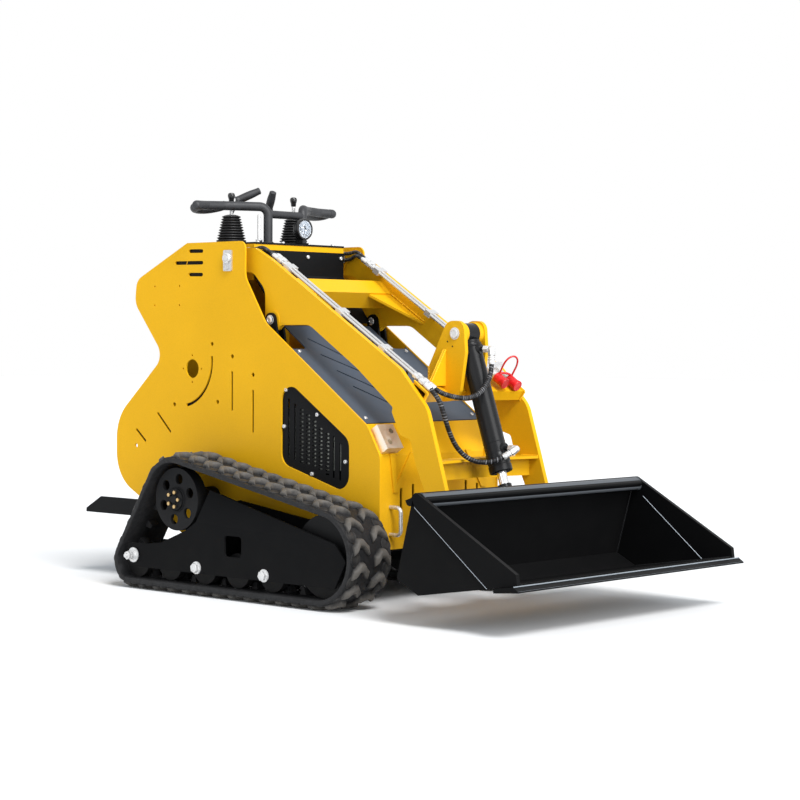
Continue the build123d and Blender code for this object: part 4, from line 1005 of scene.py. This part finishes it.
# black sheets behind the side plates' slots, painted shade of their dark inside: x from and to, z from and to
SLOT_AREAS = (
    (-196, -46, 1016, 1091), (-134, -46, 1088, 1120), (-284, -204, 498, 575), (-392, -330, 463, 517),
    (80, 94, 583, 713), (178, 192, 515, 655),
)
ARC_SLOT = (-158.7, 744.2, 149.6)       # centre x, z and radius of the curved slot


class LOADER_OT_slot_shade_and_cores(bpy.types.Operator):
    """Dark liners behind the side plates' slots and finned cores behind the grilles"""
    bl_idname = "loader.inner_covers"
    bl_label = "Slot shade and cores"

    def execute(self, context):
        shade_sheets, cores = [], []
        cx, cz, r = ARC_SLOT
        for side in SIDES:
            for x0, x1, z0, z1 in SLOT_AREAS:
                size = ((x1 - x0) * MM, 0.002, (z1 - z0) * MM)
                shade_sheets.append(plate(size, at((x0 + x1) / 2, side * PLATE_Y, (z0 + z1) / 2)))
            for k in range(13):
                turn = radians(7.2 * k - 81)
                place = at(cx + r * cos(turn), side * PLATE_Y, cz + r * sin(turn))
                shade_sheets.append(plate((0.024, 0.002, 0.024), place))
            cores.append(plate((0.250, 0.0016, 0.190), at(455, side * 267.4, 505)))
            for k in range(18):
                cores.append(plate((0.244, 0.0018, 0.0022), at(455, side * 268.8, 416 + 10.2 * k)))
        finish(shade_sheets, "slot_shade_sheets", "chassis", "black")
        finish(cores, "radiator_cores", "chassis", "core")
        return {"FINISHED"}


LAMP_AT = (99, 36, 1183)
LAMP_BEZEL = (
    (29, -10), (35, -10), (36.2, -6), (36.2, 2), (34.5, 6), (30.5, 6.8), (28.5, 4), (28.5, -0.5), (29, -10),
)
LAMP_DISH = ((0, 0.2), (8, 0.2), (10, 1.4), (20, 2.2), (27, 4.2), (28.7, 4.4), (28.7, 0.1), (0, 0.1))
LAMP_CUP = ((4, 0), (9.2, 2), (9.8, 4.2), (9, 4.4), (8.2, 2.6), (3, 1), (0, 1), (0, 0), (4, 0))
LAMP_GLASS = ((0, 4.8), (15, 4.7), (28.7, 4), (28.7, 5.2), (15, 6.4), (0, 6.8))


class LOADER_OT_lamp(bpy.types.Operator):
    """Bezel, reflector, light cups, lens and fins of the work lamp"""
    bl_idname = "loader.lamp"
    bl_label = "Work lamp"

    def execute(self, context):
        x, y, z = LAMP_AT
        seat = [(at(x, y, z), AHEAD)]
        finish(turned(LAMP_BEZEL, 56, seat), "lamp_bezel", "chassis", "lamp_black")
        cups = [(at(x, y + dy, z + dz), AHEAD) for dz in (8.5, -10.5) for dy in (-12.5, 12.5)]
        made = turned(LAMP_DISH, 48, seat) + turned(LAMP_CUP, 28, cups)
        finish(made, "lamp_reflector", "chassis", "reflector")
        finish(turned(LAMP_GLASS, 48, seat), "lamp_glass", "chassis", "lens")
        fins = [plate((0.010, 0.0016, 0.034), at(x - 35, y - 12 + 6 * k, z)) for k in range(5)]
        finish(fins, "lamp_fins", "chassis", "lamp_black")
        return {"FINISHED"}


# weld beads: radius in mm and both ends (x, y, z); each has a twin on the other side
BOOM_WELDS = (
    (3.4, (740, -56.5, 736), (740, -56.5, 690)),
    (3.2, (801, -57, 786), (801, -127, 679)),
    (3.2, (809, -57, 786), (809, -127, 679)),
    (3.0, (318, -229.5, 968), (466, -229.5, 877)),
    (3.0, (236, -229.5, 968), (285, -229.5, 925)),
    (3.0, (258, -229.5, 1012), (308, -229.5, 971)),
    (3.0, (836, -229.5, 694), (891, -229.5, 657)),
    (3.0, (892, -229.5, 655), (872, -229.5, 627)),
    (2.6, (880, -229.5, 454.5), (946, -229.5, 454.5)),
)
BUCKET_WELDS = (
    (2.6, (1118, -515.5, 98.5), (1478, -515.5, 153.5)),
    (2.6, (1046, -515.5, 140), (1104, -515.5, 352)),
)
# painted highlights along the bucket sides' edges and seams: radius in mm and points (x, y, z)
SIDE_EDGES = (
    (1.1, (1146, 516, 323.4), (1262, 516, 229), (1372.8, 516, 139.2)),
    (0.8, (1108, 530, 343), (1377, 530, 134)),
)
# painted highlights along the blade's edges: radius in mm, x, half length, z, sides of the wire
BLADE_EDGES = ((2.1, 1487.5, 548, 149.4, 2), (0.4, 1503.2, 548.4, 138.2, 1))


def beads(rows, sides):
    """Straight wires at rows (radius, points) on both sides."""
    made = []
    for radius, *points in rows:
        for side in SIDES:
            made.append(bent_wire([at(x, y * side, z) for x, y, z in points], radius * MM, False, sides))
    return made


class LOADER_OT_welds(bpy.types.Operator):
    """Weld beads of the boom's cross members and ears and inside the bucket"""
    bl_idname = "loader.welds"
    bl_label = "Weld beads"

    def execute(self, context):
        finish(beads(BOOM_WELDS, 2), "boom_welds", "boom", "weld", 60)
        finish(beads(BUCKET_WELDS, 2), "bucket_welds", "bucket", "bucket_weld", 60)
        return {"FINISHED"}


class LOADER_OT_bucket_edges(bpy.types.Operator):
    """Rolled bar, seams and worn edges of the bucket"""
    bl_idname = "loader.bucket_edges"
    bl_label = "Bucket edges"

    def execute(self, context):
        lip_x, lip_z = LIP
        rx, rz, length = 0.0135, 0.0205, 1.030      # the bar's half axes and its length
        bar = cylinder(40, 1.0, 1.0, 0)
        lying = Matrix.Rotation(radians(90), 4, "X") @ Matrix.Diagonal((1.0, 1.0, length, 1.0))
        oval = Matrix.Rotation(LIP_TURN, 4, "Y") @ Matrix.Diagonal((rx, 1.0, rz, 1.0))
        bar.data.transform(Matrix.Translation(at(lip_x, 0, lip_z)) @ oval @ lying)
        made = [bar]
        for side in SIDES:
            middle = Vector(at(lip_x, side * 514, lip_z))
            ring = []
            for k in range(25):
                a = 2 * pi * k / 24
                ring.append(middle + oval.to_3x3() @ Vector((cos(a), 0.0, sin(a))))
            made.append(bent_wire(ring, 0.0020, False, 1))
        # the bar and its end rings take the lighter blue grey of a painted sky reflection
        finish(made, "bucket_lip_bar", "bucket", "lip", 40)
        made = beads(SIDE_EDGES, 1)
        for radius, x, half, z, sides in BLADE_EDGES:
            made.append(bent_wire([at(x, -half, z), at(x, half, z)], radius * MM, False, sides))
        finish(made, "bucket_edge_highlights", "bucket", "worn_edge", 60)
        return {"FINISHED"}


# the belt runs round these wheels: x from the drive axle, z and the belt's inner radius, in metres
TRACK_WHEELS = ((-0.210, 0.089, 0.055), (0.0, 0.301, 0.118), (0.652, 0.162, 0.128))
BELT = 0.016            # thickness
TRACK_WIDTH = 0.180
TRACK_Y = 0.375         # middle of each track
LUG_PITCH = 0.072       # wanted; the real one divides the belt evenly
LUG_RISE = 0.018
# a lug's chevron: distance from its middle, shift along the belt
LUG_BEND = ((0.009, -0.011), (0.024, 0.006), (0.033, 0.012))
PAD = (
    (0, -2), (24, -2), (23.6, 2), (22.2, 3.2), (20.5, 3.4), (18.5, 2.2), (10, 3.6), (0, 4),
)


def track_runs():
    """Rows of the belt's outer face: a straight run's start, end and outward angle, then the arc after it."""
    order = [(x, z, r + BELT) for x, z, r in TRACK_WHEELS]
    runs = []
    for i, (xa, za, ra) in enumerate(order):
        xb, zb, rb = order[(i + 1) % len(order)]
        far = hypot(xb - xa, zb - za)
        angle = atan2(zb - za, xb - xa) + pi / 2 + asin((rb - ra) / far)
        c, s = cos(angle), sin(angle)
        runs.append(((xa + ra * c, za + ra * s), (xb + rb * c, zb + rb * s), angle))
    rows = []
    for i, (a, b, angle) in enumerate(runs):
        turn = runs[(i + 1) % len(runs)][2]
        while turn > angle:
            turn -= 2 * pi
        rows.append((a, b, angle, *order[(i + 1) % len(order)], angle - turn))
    return rows


def track_place(rows, s):
    """Point on the belt's outer face at length s, with the way out."""
    while True:
        for a, b, angle, x, z, r, turn in rows:
            far = dist(a, b)
            if s < far:
                k = s / far
                return a[0] + (b[0] - a[0]) * k, a[1] + (b[1] - a[1]) * k, cos(angle), sin(angle)
            s -= far
            if s < turn * r:
                t = angle - s / r
                return x + r * cos(t), z + r * sin(t), cos(t), sin(t)
            s -= turn * r


def bisect(obj, cuts):
    """Cuts through the whole piece, in edit mode, at rows (point, normal)."""
    mode("EDIT")
    for point, normal in cuts:
        select_all()
        bpy.ops.mesh.bisect(plane_co=point, plane_no=normal)
    return bmesh.from_edit_mesh(obj.data)


class LOADER_OT_tracks(bpy.types.Operator):
    """Rubber tracks with two rows of stepped lugs, shoulder pads and inner guide teeth"""
    bl_idname = "loader.tracks"
    bl_label = "Tracks"

    def lug(self, x, y):
        """Stepped chevron lug, flat, with its foot in the belt."""
        obj = cube((0.030, 0.066, 0.019), (x, y, BELT + 0.0075))
        cuts = [((x, y + cut, 0), (0, 1, 0)) for cut in (-0.024, -0.009, 0.009, 0.024)]
        mesh = bisect(obj, cuts + [((x, y, BELT + 0.0105), UP)])
        for vert in mesh.verts:
            dx, dy, dz = vert.co.x - x, vert.co.y - y, vert.co.z - BELT
            bend = min(LUG_BEND, key=lambda row: abs(abs(dy) - row[0]))[1]
            if dz > 0.014:      # top
                dx *= 0.50
                vert.co.y = y + dy * 0.90
            elif dz > 0.009:    # step
                dx *= 0.80
            else:               # foot
                dx *= 1.25
            vert.co.x = x + dx + bend
            if abs(dy) > 0.030 and dz > 0.014:      # the tips' top slopes down
                vert.co.z -= 0.004
        bmesh.update_edit_mesh(obj.data)
        close_up()
        return soften(obj, 0.0014, 1)

    def pad(self, x, y):
        """Low round pad with a raised rim on the belt's shoulder."""
        obj = lathe(PAD, 20)
        obj.data.transform(Matrix.Translation((x, y, BELT)) @ Matrix.Diagonal((1.0, 0.86, 1.0, 1.0)))
        return obj

    def tooth(self, x):
        obj = cube((0.026, 0.036, 0.024), (x, 0, -0.010))
        edit_cap(-1)
        bpy.ops.transform.resize(value=(0.46, 0.8, 1.0))
        mode("OBJECT")
        return obj

    def strip(self, pitch):
        """One pitch of the belt, flat, with open ends and rounded long edges."""
        obj = cube((pitch, TRACK_WIDTH, BELT), (pitch / 2, 0, BELT / 2))
        mesh = bisect(obj, [((pitch * k / 6, 0, 0), AHEAD) for k in range(1, 6)])
        ends = [face for face in mesh.faces if abs(face.normal.x) > 0.9]
        bmesh.ops.delete(mesh, geom=ends, context="FACES_ONLY")
        rim = TRACK_WIDTH / 2 - 0.001
        for edge in mesh.edges:
            a, b = (vert.co for vert in edge.verts)
            outside = abs(a.y) > rim and abs(b.y) > rim
            edge.select = outside and abs(a.z - b.z) < 0.001 and abs(a.x - b.x) > 0.001
        bmesh.update_edit_mesh(obj.data)
        bpy.ops.mesh.bevel(offset=0.0035, segments=2)
        mode("OBJECT")
        return obj

    def execute(self, context):
        rows = track_runs()
        whole = sum(dist(a, b) + turn * r for a, b, angle, x, z, r, turn in rows)
        count = round(whole / LUG_PITCH)
        pitch = whole / count
        half = pitch / 2
        master = join([
            self.strip(pitch), self.lug(0.0, -0.045), self.lug(half, 0.045), self.pad(half, -0.0685),
            self.pad(0.0, 0.0685), self.tooth(half),
        ])
        for side, word in WORDS:
            made = []
            for i in range(count):
                link = copy_to(master, (0, 0, 0))
                relief = link.data.attributes.new("relief", "FLOAT", "POINT")
                for k, vert in enumerate(link.data.vertices):
                    s, y, h = vert.co
                    relief.data[k].value = max(0.0, (h - BELT) / LUG_RISE)
                    x, z, nx, nz = track_place(rows, (s + pitch * i) % whole)
                    out = h - BELT
                    vert.co = (AXLE_X + x + nx * out, side * (TRACK_Y - y), max(0.0, z + nz * out))
                made.append(link)
            track = join(made)
            mode("EDIT")
            close_up(1e-5)
            finish([track], f"tread_{word}", "chassis", "tread", 35)
            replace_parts(track, f"track_{word}")
        drop(master)
        return {"FINISHED"}


OPERATORS = (
    LOADER_OT_stage, LOADER_OT_finishes, LOADER_OT_hoses, LOADER_OT_cover_screws, LOADER_OT_roller_nuts,
    LOADER_OT_line_fittings, LOADER_OT_tilt_fittings, LOADER_OT_pin_heads, LOADER_OT_couplers,
    LOADER_OT_controls, LOADER_OT_slot_shade_and_cores, LOADER_OT_lamp, LOADER_OT_welds, LOADER_OT_bucket_edges,
    LOADER_OT_tracks,
)


class LOADER_PT_panel(bpy.types.Panel):
    """Lists the loader's pieces in the sidebar"""
    bl_label = "Loader"
    bl_idname = "LOADER_PT_panel"
    bl_space_type = "VIEW_3D"
    bl_region_type = "UI"
    bl_category = "Loader"

    def draw(self, context):
        for group, kind in GROUPS.items():
            box = self.layout.box()
            for key in kind.__annotations__:
                box.prop(getattr(context.scene, group), key)
        for kind in OPERATORS:
            self.layout.operator(kind.bl_idname)


CLASSES = (*GROUPS.values(), *OPERATORS, LOADER_PT_panel)


def register():
    for kind in CLASSES:
        bpy.utils.register_class(kind)
    for group, kind in GROUPS.items():
        setattr(bpy.types.Scene, group, bpy.props.PointerProperty(type=kind))


def unregister():
    for group in GROUPS:
        delattr(bpy.types.Scene, group)
    for kind in reversed(CLASSES):
        bpy.utils.unregister_class(kind)


def main():
    register()
    for kind in OPERATORS:
        area, name = kind.bl_idname.split(".")
        getattr(getattr(bpy.ops, area), name)()


if __name__ == "__main__":
    main()
